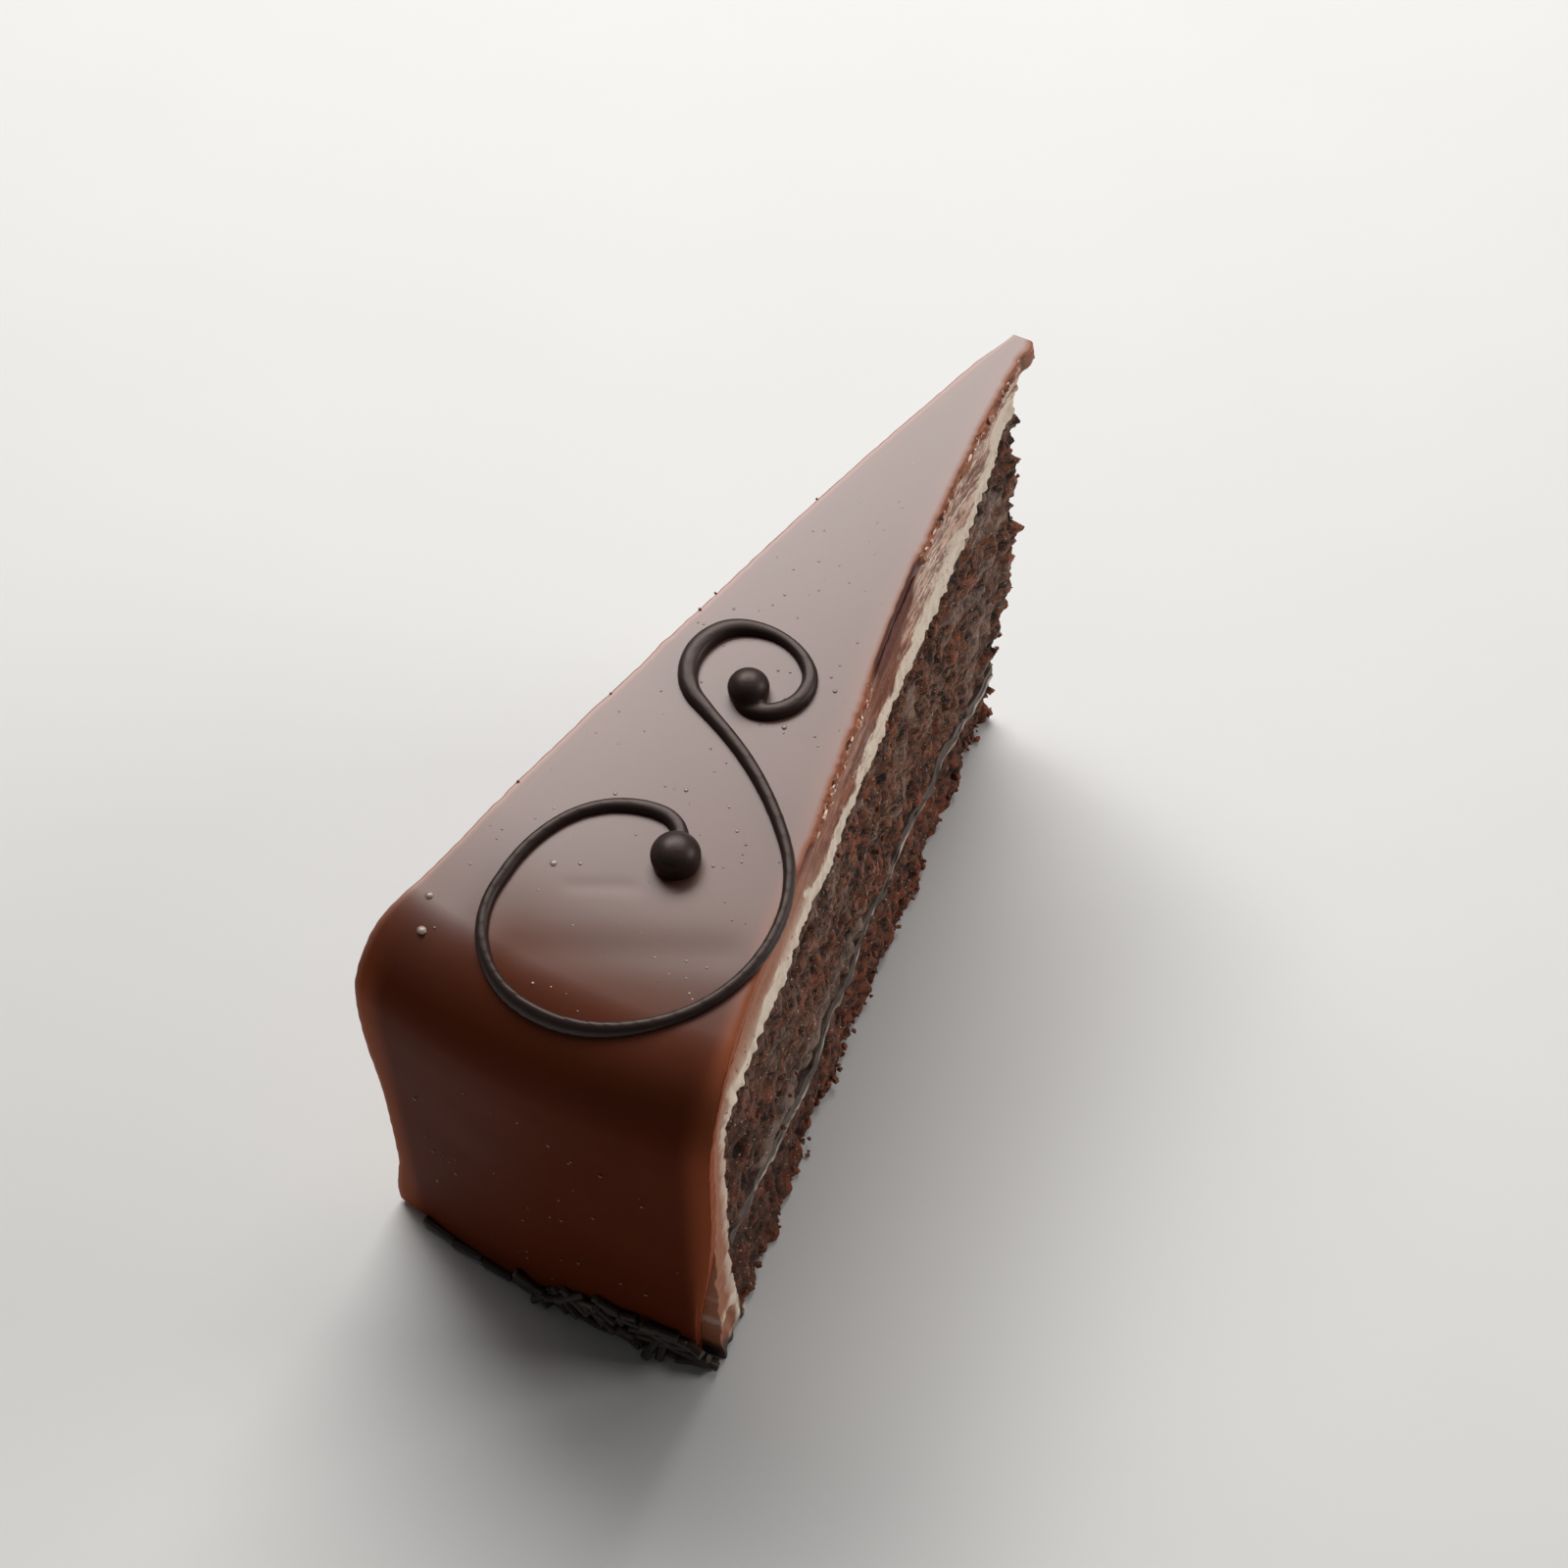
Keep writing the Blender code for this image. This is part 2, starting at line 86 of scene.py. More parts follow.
# The sponge, the filling and the cream's foot
SPONGE_TOP_Z = 50.6 * MM
SPONGE_TIP_RISE = 8.2 * MM
TIP_RISE_FROM = 36 * MM
TIP_RISE_TO = 8 * MM
SPONGE_CORNER = 5 * MM
SPONGE_RADIUS = 114 * MM
FOOT_THICKENING = 3 * MM
FOOT_REACH = 24 * MM
FILLING_TIP_Z = 8.5 * MM
FILLING_CLIMB = 0.052
FILLING_RIM_RISE = 7.0 * MM
FILLING_WAVE = 0.6 * MM
FILLING_WAVE_LENGTH = 18 * MM
FILLING_WANDER = 1.4 * MM
FILLING_THICKNESS = 2.2 * MM
OVERLAP = 0.15 * MM                  # the soft layers are pressed into each other
CLEFT_WIDTH = 0.42                   # of the clefts between lumps, as a share of a lump
PORE_SHARE = 0.34                    # of the wide cells that are pores

# The piped scroll, as a chain of arcs that starts in its small pearl
SCROLL_START = (-0.65 * MM, -66.1 * MM)  # from the cake's centre
SCROLL_HEADING = math.radians(-115)
SCROLL_RUNS = (                      # length in mm, turn in degrees
    (4.5, 119), (11.5, 135), (10.5, 65), (3, 33), (11.5, 98), (5.5, 0), (17.5, -22),
    (33.5, -105), (13, -38), (16, -82), (1.5, 2), (8.5, -27), (12.5, -61), (7, -92),
)
SCROLL_HALF_WIDTHS = (               # share of the length, half width in mm
    (0, 1.1), (0.06, 1.15), (0.13, 0.85), (0.21, 1.4), (0.30, 0.9),
    (0.45, 0.78), (0.62, 0.82), (0.85, 0.82), (1, 1.05),
)
SCROLL_STATIONS = 420
SCROLL_FLATNESS = 0.72
SCROLL_LIFT = 0.3 * MM
SCROLL_SINK = 0.05 * MM              # into the glaze, once line and pearls are melted together
LINE_HEIGHT = 0.2 * MM               # of the line's middle before it is flattened
PEARL_SINK = 0.42                    # height of a pearl's middle, as a share of its half height
PEARL_STRETCH = 1.22
SMALL_PEARL = (2.55 * MM, 1.75 * MM)
LARGE_PEARL = (2.95 * MM, 2.05 * MM)
SMALL_PEARL_SHIFT = (0.5 * MM, -0.9 * MM)  # from the line's end
LARGE_PEARL_SHIFT = (0.15 * MM, -0.25 * MM)

# The sprinkles at the foot
SPRINKLE_RADIUS = 0.62 * MM
SPRINKLE_CLEARANCE = 0.05 * MM       # above the table
SPRINKLE_LENGTHS = (4.0 * MM, 5.6 * MM)
FOOT_ROW_COUNT = 9
FOOT_ROW_SIDES = (-0.745, 0.90)
PILE_COUNT = 36
PILE_SIDES = (-0.12, 0.93)
LAID_RODS = (                        # their two ends in mm
    ((16.0, -58.9, 3.5), (14.9, -61.3, 0.65)),
    ((16.6, -59.0, 2.6), (16.7, -60.6, 0.65)),
    ((11.2, -59.6, 0.65), (13.8, -60.2, 0.65)),
    ((2.8, -60.4, 4.0), (7.5, -59.9, 4.2)),
    ((18.4, -59.4, 0.7), (23.6, -57.4, 0.7)),
)

# Rows that each block is cut into, and how often they are then halved
GLAZE_ROWS = (60, 1, 8)
CREAM_ROWS = (60, 3, 1)
UPPER_SPONGE_ROWS = (38, 13, 1)
LOWER_SPONGE_ROWS = (38, 5, 1)
FILLING_ROWS = (38, 1, 1)
HALVINGS = 3

# The photograph's viewpoint
CAMERA_TARGET = Vector((-3.6 * MM, 7.32 * MM, 30 * MM))
CAMERA_DISTANCE = 328.2 * MM
CAMERA_AZIMUTH = math.radians(29.85)
CAMERA_ELEVATION = math.radians(51.3)
CAMERA_ROLL = math.radians(-0.39)
CAMERA_LENS = 56.25                  # in mm, as the sensor's width is
CAMERA_SENSOR = 36


def mix(low, high, share):
    return low + (high - low) * share


def clamped(value):
    return min(max(value, 0.0), 1.0)


def smooth(low, high, value):
    """Runs from 0 at low to 1 at high with soft ends."""
    share = clamped((value - low) / (high - low))
    return share * share * (3 - 2 * share)


def hump(low, high, value, edge):
    """1 between low and high, falling to 0 over the edge outside them."""
    return smooth(low - edge, low, value) * (1 - smooth(high, high + edge, value))


def crumb_noise(x, y, grain, seed):
    """Smooth noise from -1 to 1 with patches about a grain wide. Each seed is a pattern."""
    return noise.noise(Vector((x / grain, y / grain, seed)))


def half_width(r):
    """Half the slice's width at a distance from the cake's centre."""
    return r * math.sin(SLICE_ANGLE / 2) + TIP_SWELL * math.exp(-r / SWELL_REACH)


def placed(r, side, z, relief=0.0):
    """A point of the slice. side runs from -1 at the left cut to 1 at the right one."""
    x = side * half_width(r)
    roundness = smooth(ROUND_FROM, ROUND_TO, r)
    forward = mix(r, math.sqrt(max(r * r - x * x, 0)), roundness)
    lean = TIP_LEAN * clamped(1 - r / LEAN_REACH) ** 2
    return Vector((x + lean + side * relief, CENTRE_Y - forward, z))


def on_shoulder(radius, angle):
    """Radius and height of a point on the shoulder's arc. The angle is 0 straight up."""
    return (SHOULDER_CENTRE_R + radius * math.sin(angle),
            SHOULDER_CENTRE_Z + radius * math.cos(angle))


def coat_outline(along, depth, foot_z):
    """Radius and height of a point below the glaze's outer face."""
    radius = SHOULDER_RADIUS - depth
    if along <= TOP_SHARE:
        end_r, end_z = on_shoulder(radius, TOP_SLOPE)
        r = mix(TIP_START, end_r, along / TOP_SHARE)
        return r, end_z + (end_r - r) * math.tan(TOP_SLOPE)
    if along <= SHOULDER_SHARE:
        share = (along - TOP_SHARE) / (SHOULDER_SHARE - TOP_SHARE)
        return on_shoulder(radius, mix(TOP_SLOPE, math.pi / 2, share))
    share = (along - SHOULDER_SHARE) / (1 - SHOULDER_SHARE)
    return CAKE_RADIUS - depth, mix(SHOULDER_CENTRE_Z, foot_z, share)


def top_surface(x, y):
    """Height of the glaze at a point given from the cake's centre."""
    r = math.hypot(x, y)
    end_r, end_z = on_shoulder(SHOULDER_RADIUS, TOP_SLOPE)
    if r <= end_r:
        return end_z + (end_r - r) * math.tan(TOP_SLOPE)
    drop = SHOULDER_RADIUS ** 2 - (r - SHOULDER_CENTRE_R) ** 2
    return SHOULDER_CENTRE_Z + math.sqrt(max(drop, 0))


def sponge_top(r):
    """Height of the sponge at a radius, with its rounded rim."""
    z = SPONGE_TOP_Z + SPONGE_TIP_RISE * smooth(TIP_RISE_FROM, TIP_RISE_TO, r)
    into_corner = clamped((r - SPONGE_RADIUS + SPONGE_CORNER) / SPONGE_CORNER)
    return z - SPONGE_CORNER * (1 - math.sqrt(1 - into_corner ** 2))


def sponge_rim(z):
    """Radius of the sponge's rim at a height: the cream's foot is thicker."""
    return SPONGE_RADIUS - FOOT_THICKENING * clamped(1 - z / FOOT_REACH) ** 2


def sponge_outline(along, gap):
    """A point of the cream's inner face, a gap outside the sponge."""
    if along <= TOP_SHARE:
        r = mix(TIP_START, SPONGE_RADIUS - SPONGE_CORNER, along / TOP_SHARE)
        return r, sponge_top(r) + gap
    if along <= SHOULDER_SHARE:
        share = (along - TOP_SHARE) / (SHOULDER_SHARE - TOP_SHARE)
        angle = share * math.pi / 2
        reach = SPONGE_CORNER + gap
        return (SPONGE_RADIUS - SPONGE_CORNER + reach * math.sin(angle),
                SPONGE_TOP_Z - SPONGE_CORNER + reach * math.cos(angle))
    share = (along - SHOULDER_SHARE) / (1 - SHOULDER_SHARE)
    z = mix(SPONGE_TOP_Z - SPONGE_CORNER, 0, share)
    return sponge_rim(z) + gap, z


def filling_bottom(r):
    """The filling climbs in soft waves, and steeply at the rim."""
    wave = FILLING_WAVE * math.sin(2 * math.pi * (r + 1.5 * MM) / FILLING_WAVE_LENGTH)
    wander = FILLING_WANDER * crumb_noise(r, 0, 13 * MM, 51.0)
    rim_rise = FILLING_RIM_RISE * smooth(84 * MM, SPONGE_RADIUS, r)
    return FILLING_TIP_Z + FILLING_CLIMB * r + rim_rise + wave + wander


def sponge_start(z):
    """Where the crumb's tip begins: further back near the base."""
    return TIP_START + TIP_UNDERCUT * smooth(26 * MM, 6 * MM, z)


def glaze_depth(along):
    return mix(GLAZE_ON_TOP, GLAZE_ON_SIDE, smooth(TOP_SHARE, SHOULDER_SHARE, along))


def deselect():
    bpy.ops.object.select_all(action="DESELECT")


def make_active(piece):
    deselect()
    piece.select_set(True)
    bpy.context.view_layer.objects.active = piece


def rename(piece, name):
    piece.name = name
    piece.data.name = name
    return piece


def take_new(name):
    """Names the primitive that was just added and puts its origin at the world's."""
    bpy.ops.object.transform_apply(location=True, rotation=True, scale=True)
    return rename(bpy.context.object, name)


def join(pieces, name):
    """Joins pieces into one that carries the name."""
    make_active(pieces[0])
    for piece in pieces:
        piece.select_set(True)
    bpy.ops.object.join()
    return rename(bpy.context.object, name)


def bisect(normal, places):
    """Cuts the active mesh across at each place along a direction."""
    bpy.ops.object.mode_set(mode="EDIT")
    for place in places:
        bpy.ops.mesh.select_all(action="SELECT")
        bpy.ops.mesh.bisect(plane_co=normal * place, plane_no=normal)
    bpy.ops.object.mode_set(mode="OBJECT")


def apply_modifier(piece, kind, **settings):
    """Adds a modifier, sets it and applies it."""
    make_active(piece)
    modifier = piece.modifiers.new(kind.lower(), kind)
    for setting, value in settings.items():
        setattr(modifier, setting, value)
    bpy.ops.object.modifier_apply(modifier=modifier.name)


def cut_block(name, rows):
    """A unit cube, bisected into rows along each axis and halved to fine rows."""
    deselect()
    bpy.ops.mesh.primitive_cube_add(size=1, location=(0.5, 0.5, 0.5))
    block = take_new(name)
    for axis, count in enumerate(rows):
        normal = Vector((axis == 0, axis == 1, axis == 2))
        bisect(normal, [step / count for step in range(1, count)])
    apply_modifier(block, "SUBSURF", subdivision_type="SIMPLE",
                   levels=HALVINGS, render_levels=HALVINGS)
    return block


def bend_block(block, shape, marks):
    """Moves each point of a block to its place. shape(along, up, side) gives that place
    and the values of the marks, which are kept on the points for the finish to read."""
    mesh = block.data
    kept = {mark: [] for mark in marks}
    for vert in mesh.vertices:
        along, up, across = vert.co
        vert.co, values = shape(along, up, mix(1, -1, across))
        for mark, value in zip(marks, values):
            kept[mark].append(value)
    for mark in marks:
        attribute = mesh.attributes.new(mark, "FLOAT", "POINT")
        attribute.data.foreach_set("value", kept[mark])
    mesh.update()


def scatter(name, template, places, unevenness, grain):
    """Copies a template to each place, makes each copy uneven in its own way and joins them.
    A place is a matrix and the copy's shade, which its finish reads."""
    copies = []
    for index, (place, shade) in enumerate(places):
        copy = template.copy()
        copy.data = template.data.copy()
        bpy.context.collection.objects.link(copy)
        for vert in copy.data.vertices:
            offset = noise.noise_vector(vert.co / grain + Vector((index * 3.7, 0, 0)))
            vert.co = place @ (vert.co + offset * unevenness)
            vert.co.z = max(vert.co.z, 0)
        attribute = copy.data.attributes.new("shade", "FLOAT", "POINT")
        attribute.data.foreach_set("value", [shade] * len(copy.data.vertices))
        copies.append(copy)
    bpy.data.objects.remove(template, do_unlink=True)
    return join(copies, name)


def settle(piece, finish, replaced=(), sharp_degrees=50):
    """Gives a piece its finish and shading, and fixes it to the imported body."""
    piece.data.materials.clear()
    piece.data.materials.append(finish)
    make_active(piece)
    bpy.ops.object.shade_smooth_by_angle(angle=math.radians(sharp_degrees))
    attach(piece, "root")
    if replaced:
        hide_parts(*replaced)


class Signal:
    """A socket that takes part in sums: 1 - mask adds a Math node."""

    def __init__(self, finish, socket):
        self.finish = finish
        self.socket = socket

    def __add__(self, other):
        return self.finish.maths("ADD", self, other)

    def __radd__(self, other):
        return self.finish.maths("ADD", other, self)

    def __sub__(self, other):
        return self.finish.maths("SUBTRACT", self, other)

    def __rsub__(self, other):
        return self.finish.maths("SUBTRACT", other, self)

    def __mul__(self, other):
        return self.finish.maths("MULTIPLY", self, other)

    def __rmul__(self, other):
        return self.finish.maths("MULTIPLY", other, self)

    def __pow__(self, other):
        return self.finish.maths("POWER", self, other)


class Finish:
    """A material under construction."""

    def __init__(self, name):
        self.material = bpy.data.materials.new(name)
        self.material.use_nodes = True
        self.tree = self.material.node_tree
        self.shader = self.tree.nodes["Principled BSDF"]

    def put(self, socket, value):
        """Links a signal to a socket, or sets the socket to a number or colour."""
        if isinstance(value, Signal):
            self.tree.links.new(value.socket, socket)
        elif socket.type == "RGBA":
            socket.default_value = (*value, 1.0)
        else:
            socket.default_value = value

    def node(self, kind, settings=(), **sockets):
        """Adds a node. Settings come first, then sockets: in_0 is the first input."""
        node = self.tree.nodes.new(kind)
        for setting, value in dict(settings).items():
            setattr(node, setting, value)
        for key, value in sockets.items():
            place = int(key[3:]) if key.startswith("in_") else key.replace("_", " ")
            self.put(node.inputs[place], value)
        return node

    def out(self, node, place=0):
        return Signal(self, node.outputs[place])

    def maths(self, operation, first, second=0.0, clamp=False):
        settings = {"operation": operation, "use_clamp": clamp}
        return self.out(self.node("ShaderNodeMath", settings, in_0=first, in_1=second))

    def clamp(self, value):
        return self.maths("ADD", value, 0.0, clamp=True)

    def ramp(self, value, low, high):
        """0 at low to 1 at high with soft ends."""
        settings = {"interpolation_type": "SMOOTHSTEP"}
        return self.out(self.node("ShaderNodeMapRange", settings, Value=value, in_1=low, in_2=high))

    def hump(self, low, high, value, edge):
        """1 between low and high, falling to 0 over the edge outside them."""
        return self.ramp(value, low - edge, low) * self.ramp(value, high + edge, high)

    def mark(self, name):
        """A mark that was kept on the points."""
        return self.out(self.node("ShaderNodeAttribute", {"attribute_name": name}), "Fac")

    def place(self, scale=(1, 1, 1), turn=(0, 0, 0)):
        """Object coordinates, stretched and turned."""
        where = self.out(self.node("ShaderNodeTexCoord"), "Object")
        return self.out(self.node("ShaderNodeMapping", Vector=where, Rotation=turn, Scale=scale))

    def xyz(self):
        """The point's own place on the piece."""
        parts = self.node("ShaderNodeSeparateXYZ", in_0=self.place())
        return [self.out(parts, index) for index in range(3)]

    def radius(self, x, y):
        """Distance from the cake's centre, seen from above."""
        back = CENTRE_Y - y
        return self.maths("SQRT", x * x + back * back)

    def noise(self, grain, detail=3.0, roughness=0.5, scale=(1, 1, 1), turn=(0, 0, 0)):
        """Soft noise from 0 to 1. Its patches are about a grain wide, and longer where the
        scale is below 1."""
        return self.out(self.node(
            "ShaderNodeTexNoise", Vector=self.place(scale, turn), Scale=1 / grain,
            Detail=detail, Roughness=roughness))

    def cells(self, grain):
        """Distance to the nearest of many points about a grain apart."""
        return self.out(self.node("ShaderNodeTexVoronoi", Vector=self.place(), Scale=1 / grain))

    def blend(self, low, high, share):
        """Mixes two colours."""
        settings = {"data_type": "RGBA", "clamp_factor": True}
        mixed = self.node("ShaderNodeMix", settings, in_0=share, in_6=low, in_7=high)
        return self.out(mixed, 2)

    def layers(self, base, *layers):
        """Lays colours over a base one after another, each by its own share."""
        for colour, share in layers:
            base = self.blend(base, colour, share)
        return base

    def toned(self, colour, strength, share):
        """A colour that runs to a lighter or darker tone of itself."""
        return self.blend(colour, tuple(part * strength for part in colour), share)

    def relief(self, *bumps):
        """Bumps over each other, each a height, its distance and its strength."""
        normal = None
        for height, distance, strength in bumps:
            node = self.node("ShaderNodeBump", Height=height, Distance=distance, Strength=strength)
            if normal:
                self.put(node.inputs["Normal"], normal)
            normal = self.out(node)
        return normal

    def shade(self, **sockets):
        """Fills the shader's sockets and gives back the material."""
        for key, value in sockets.items():
            self.put(self.shader.inputs[key.replace("_", " ")], value)
        return self.material


def shade_property(name, description, default):
    return FloatVectorProperty(
        name=name, description=description, default=default, size=3, min=0, max=1, subtype="COLOR")


def share_property(name, description, default):
    return FloatProperty(
        name=name, description=description, default=default, min=0, max=1, subtype="FACTOR")


def length_property(name, description, default):
    return FloatProperty(
        name=name, description=description, default=default, min=0.05 * MM, unit="LENGTH")


def power_property(name, description, default):
    return FloatProperty(
        name=name, description=description, default=default, min=0, unit="POWER")


class GlazeSettings(bpy.types.PropertyGroup):
    """The poured chocolate glaze."""
    chocolate: shade_property("Chocolate", "Colour of the poured top", (0.12, 0.042, 0.022))
    # Partly painted shade: a darker, redder copy of the top's chocolate for the rim, which faces
    # away from the lights
    rim: shade_property("Rim", "Colour of the glaze down the rim", (0.106, 0.0180, 0.0046))
    maroon: shade_property("Maroon", "Colour of the shaded cut face", (0.07, 0.017, 0.009))
    # Painted light: the glow of light through thin glaze, laid near the cuts, on the strand and at
    # the right shoulder
    glow: shade_property("Edge glow", "Colour of the thin edges", (0.42, 0.12, 0.05))
    amber: shade_property("Amber", "Colour of the thin glaze at the rim's cut", (0.36, 0.085, 0.03))
    # Partly painted light: the broken glaze's own orange, brightened where the torn and rounded
    # edges catch the light
    copper: shade_property("Broken edge", "Colour of the broken lip", (0.42, 0.16, 0.085))
    # Painted highlight: the bright colour laid on the broken lip, the shards and the bubbles
    highlight_fleck: shade_property("Fleck", "Colour of bright flecks on the lip", (0.90, 0.68, 0.54))
    # Painted light: the glaze's cut made paler at the tip, where the light is brighter
    pale: shade_property("Pale tip", "Colour of the thin glaze at the tip", (0.50, 0.30, 0.22))
    # Painted light: the glow of backlight along the left cut's edge
    salmon: shade_property("Salmon", "Colour of the edge at the left cut", (0.50, 0.22, 0.15))
    # Partly painted highlight: the bubbles are paler than the glaze around them
    bubble: shade_property("Bubble", "Colour of the air bubbles", (0.17, 0.085, 0.060))
    roughness: share_property("Roughness", "How satin the poured face is", 0.42)
    sheen_on_top: share_property("Sheen on top", "Strength of the satin skin on the top", 1.0)
    sheen_on_rim: share_property("Sheen on rim", "Strength of the satin skin down the rim", 0.0)
    edge_radius: length_property("Edge radius", "Rounding of the glaze at the cuts", 0.35 * MM)


class CreamSettings(bpy.types.PropertyGroup):
    """The cream under the glaze, as the knife left it."""
    beige: shade_property("Beige", "Colour of the clean torn edge", (0.97, 0.80, 0.64))
    # Partly painted light: the cream is paler towards the tip, where the light is brighter
    grey: shade_property("Grey", "Colour of cream near the tip", (0.74, 0.46, 0.34))
    dull: shade_property("Dull", "Colour of cream further back", (0.40, 0.130, 0.058))
    tan: shade_property("Tan", "Colour of cream stained by the glaze", (0.44, 0.158, 0.076))
    rust: shade_property("Rust", "Colour of dragged chocolate", (0.20, 0.058, 0.028))
    mahogany: shade_property("Mahogany", "Colour of the shaded band", (0.15, 0.032, 0.016))
    soaked: shade_property("Soaked", "Colour of the foot, soaked with glaze", (0.05, 0.024, 0.016))


class SpongeSettings(bpy.types.PropertyGroup):
    """The two sponges."""
    crumb: shade_property("Crumb", "Colour of the crumb", (0.38, 0.140, 0.070))
    red_crumb: shade_property("Red crumb", "Colour of the warmer lumps", (0.52, 0.115, 0.040))
    # Painted shade: this near-black goes into pits, clefts, crevices and small hollows of the
    # crumb; on loose crumbs it darkens their tone and marks small dark patches
    pore: shade_property("Pore", "Colour deep in the pores", (0.020, 0.008, 0.004))
    smear: shade_property("Smear", "Colour of cream dragged over the crumb", (0.42, 0.285, 0.215))
    # Painted highlight: the bright colour of the glints on the grains
    glint: shade_property("Glint", "Colour of bright grains", (0.85, 0.62, 0.45))
    shaded: shade_property("Shaded crumb", "Colour of crumb in the shade", (0.045, 0.015, 0.008))
    clump_length: length_property("Lump length", "Length of the lumps along the cut", 3.6 * MM)
    clump_height: length_property("Lump height", "Height of the lumps", 1.9 * MM)
    pore_length: length_property("Pore length", "Length of the larger pores", 5.6 * MM)
    pore_height: length_property("Pore height", "Height of the larger pores", 3.4 * MM)


class FillingSettings(bpy.types.PropertyGroup):
    """The thin filling between the sponges."""
    paste: shade_property("Paste", "Colour of the filling", (0.10, 0.062, 0.047))
    streak: shade_property("Streak", "Colour of its darker streaks", (0.055, 0.028, 0.020))
    bright: shade_property("Bright line", "Colour of its lower edge", (0.62, 0.52, 0.44))


class ScrollSettings(bpy.types.PropertyGroup):
    """The piped scroll."""
    chocolate: shade_property("Dark chocolate", "Colour of the piping", (0.020, 0.0118, 0.0098))
    roughness: share_property("Roughness", "How satin the piping is", 0.46)
    voxel: length_property("Melt size", "Voxels that melt line and pearls together", 0.24 * MM)


class SprinkleSettings(bpy.types.PropertyGroup):
    """The chocolate sprinkles at the foot."""
    chocolate: shade_property("Sprinkle", "Colour of the sprinkles", (0.036, 0.023, 0.017))


class CrumbSettings(bpy.types.PropertyGroup):
    """Loose crumbs, shards and air bubbles."""
    crumbs: IntProperty(
        name="Crumbs", description="Crumbs along the edges of the cut", default=330, min=1)
    shards: IntProperty(
        name="Shards", description="Shards of glaze along the broken lip", default=110, min=1)
    bubbles: IntProperty(
        name="Bubbles", description="Air bubbles in the glaze", default=120, min=1)


class StageSettings(bpy.types.PropertyGroup):
    """The floor and the lights."""
    floor: shade_property("Floor", "Colour of the floor", (0.80, 0.80, 0.79))
    key: power_property("Key light", "Power of the wide light behind the slice", 8.7)
    side: power_property("Side light", "Power of the low light that grazes the cut", 2.5)
    top: power_property("Top light", "Power of the high light behind the tip", 0.8)
    left: power_property("Left light", "Power of the light behind the left cut", 1.0)
    sky: FloatProperty(
        name="Sky", description="Brightness of the even light from all round",
        default=0.05, min=0)


def glaze_relief(r, z, up, side):
    """How far the glaze stands proud of its cut: a chipped lip, a recess, and corners that
    are fuller or cut back, as in the solid."""
    seed = 3.0 + side
    chips = crumb_noise(r, z, 3.1 * MM, seed) * 0.7 * MM
    lip = hump(3 * MM, 39 * MM, r, 2 * MM) * (0.5 * MM + chips) * smooth(-0.5, 0.5, side)
    recess = hump(43 * MM, 58 * MM, r, 2 * MM) * (1 - up) * 0.8 * MM
    late_lip = hump(64 * MM, 94 * MM, r, 8 * MM) * (0.5 * MM + 0.5 * chips)
    tip = smooth(9 * MM, 2 * MM, r)
    shoulder = smooth(106 * MM, 116 * MM, r) * smooth(26 * MM, 40 * MM, z)
    on_rim = smooth(110 * MM, 116 * MM, r)
    if side > 0:
        corners = 0.4 * tip + 0.4 * shoulder - 2.5 * on_rim * smooth(32 * MM, 4 * MM, z)
    else:
        corners = 0.9 * shoulder - 0.6 * tip + 1.7 * on_rim * smooth(14 * MM, 2 * MM, z)
    return lip - recess + late_lip + corners * MM


def cream_relief(r, z, up, side):
    """The knife left a ridge along the cream's lower edge and hollows above it."""
    on_top = smooth(48 * MM, 52 * MM, z)
    ridge = hump(0.0, 0.25, up, 0.2) * 0.5 * MM * on_top
    hollow = hump(0.5, 0.75, up, 0.25) * 0.3 * MM * on_top
    tip_hollow = smooth(16 * MM, 3 * MM, r) * smooth(0.9, 0.3, up) * 2.0 * MM
    drag = crumb_noise(r, z * 3, 9 * MM, 11.0 + side) * 0.35 * MM
    foot = smooth(14 * MM, 2 * MM, z) * 0.5 * MM
    return ridge - hollow - tip_hollow + drag + foot


def crumb_relief(r, z, side):
    """Crags of the torn crumb, with a crumbly edge at the base."""
    seed = 21.0 + side
    coarse = crumb_noise(r, z, 6.0 * MM, seed) * 0.9 * MM
    fine = crumb_noise(r, z, 2.3 * MM, seed + 5) * 0.9 * MM
    bulge = hump(0.0, 8 * MM, r, 14 * MM) * hump(25 * MM, 46 * MM, z, 5 * MM) * 0.6 * MM
    base_edge = smooth(3 * MM, 0.5 * MM, z)
    base_crumbs = base_edge * (0.2 * MM + crumb_noise(r, 0.0, 5.0 * MM, seed + 9) * 1.2 * MM)
    spread = 1.1 * smooth(10 * MM, 20 * MM, r) + 0.7 * hump(40 * MM, 52 * MM, r, 14 * MM)
    flare = smooth(16 * MM, 1 * MM, z) * (spread - 0.8 * smooth(66 * MM, 84 * MM, r)) * MM
    drawn_in = smooth(50 * MM, 57 * MM, z) * smooth(14 * MM, 4 * MM, r) * 1.4 * MM
    return coarse + fine + bulge + base_crumbs + flare - drawn_in


def tip_relief(z, side):
    """Crags on the blunt tip."""
    return crumb_noise(side * MM, z, 3.0 * MM, 41.0) * 0.8 * MM


# The glaze
SPATULA_MARKS = (                    # from the cake's centre: start, end, depth, half width in mm
    ((-9, -110.5), (19, -97.0), 0.10, 2.4),
    ((-6, -100.0), (2.5, -95.8), 0.035, 0.8),
)


def from_segment(x, y, start, end):
    """Distance of a point from a segment, and how far along it the point is."""
    run = Vector(end) - Vector(start)
    share = (Vector((x, y)) - Vector(start)).dot(run) / run.length_squared
    nearest = Vector(start) + run * clamped(share)
    return (Vector((x, y)) - nearest).length, share


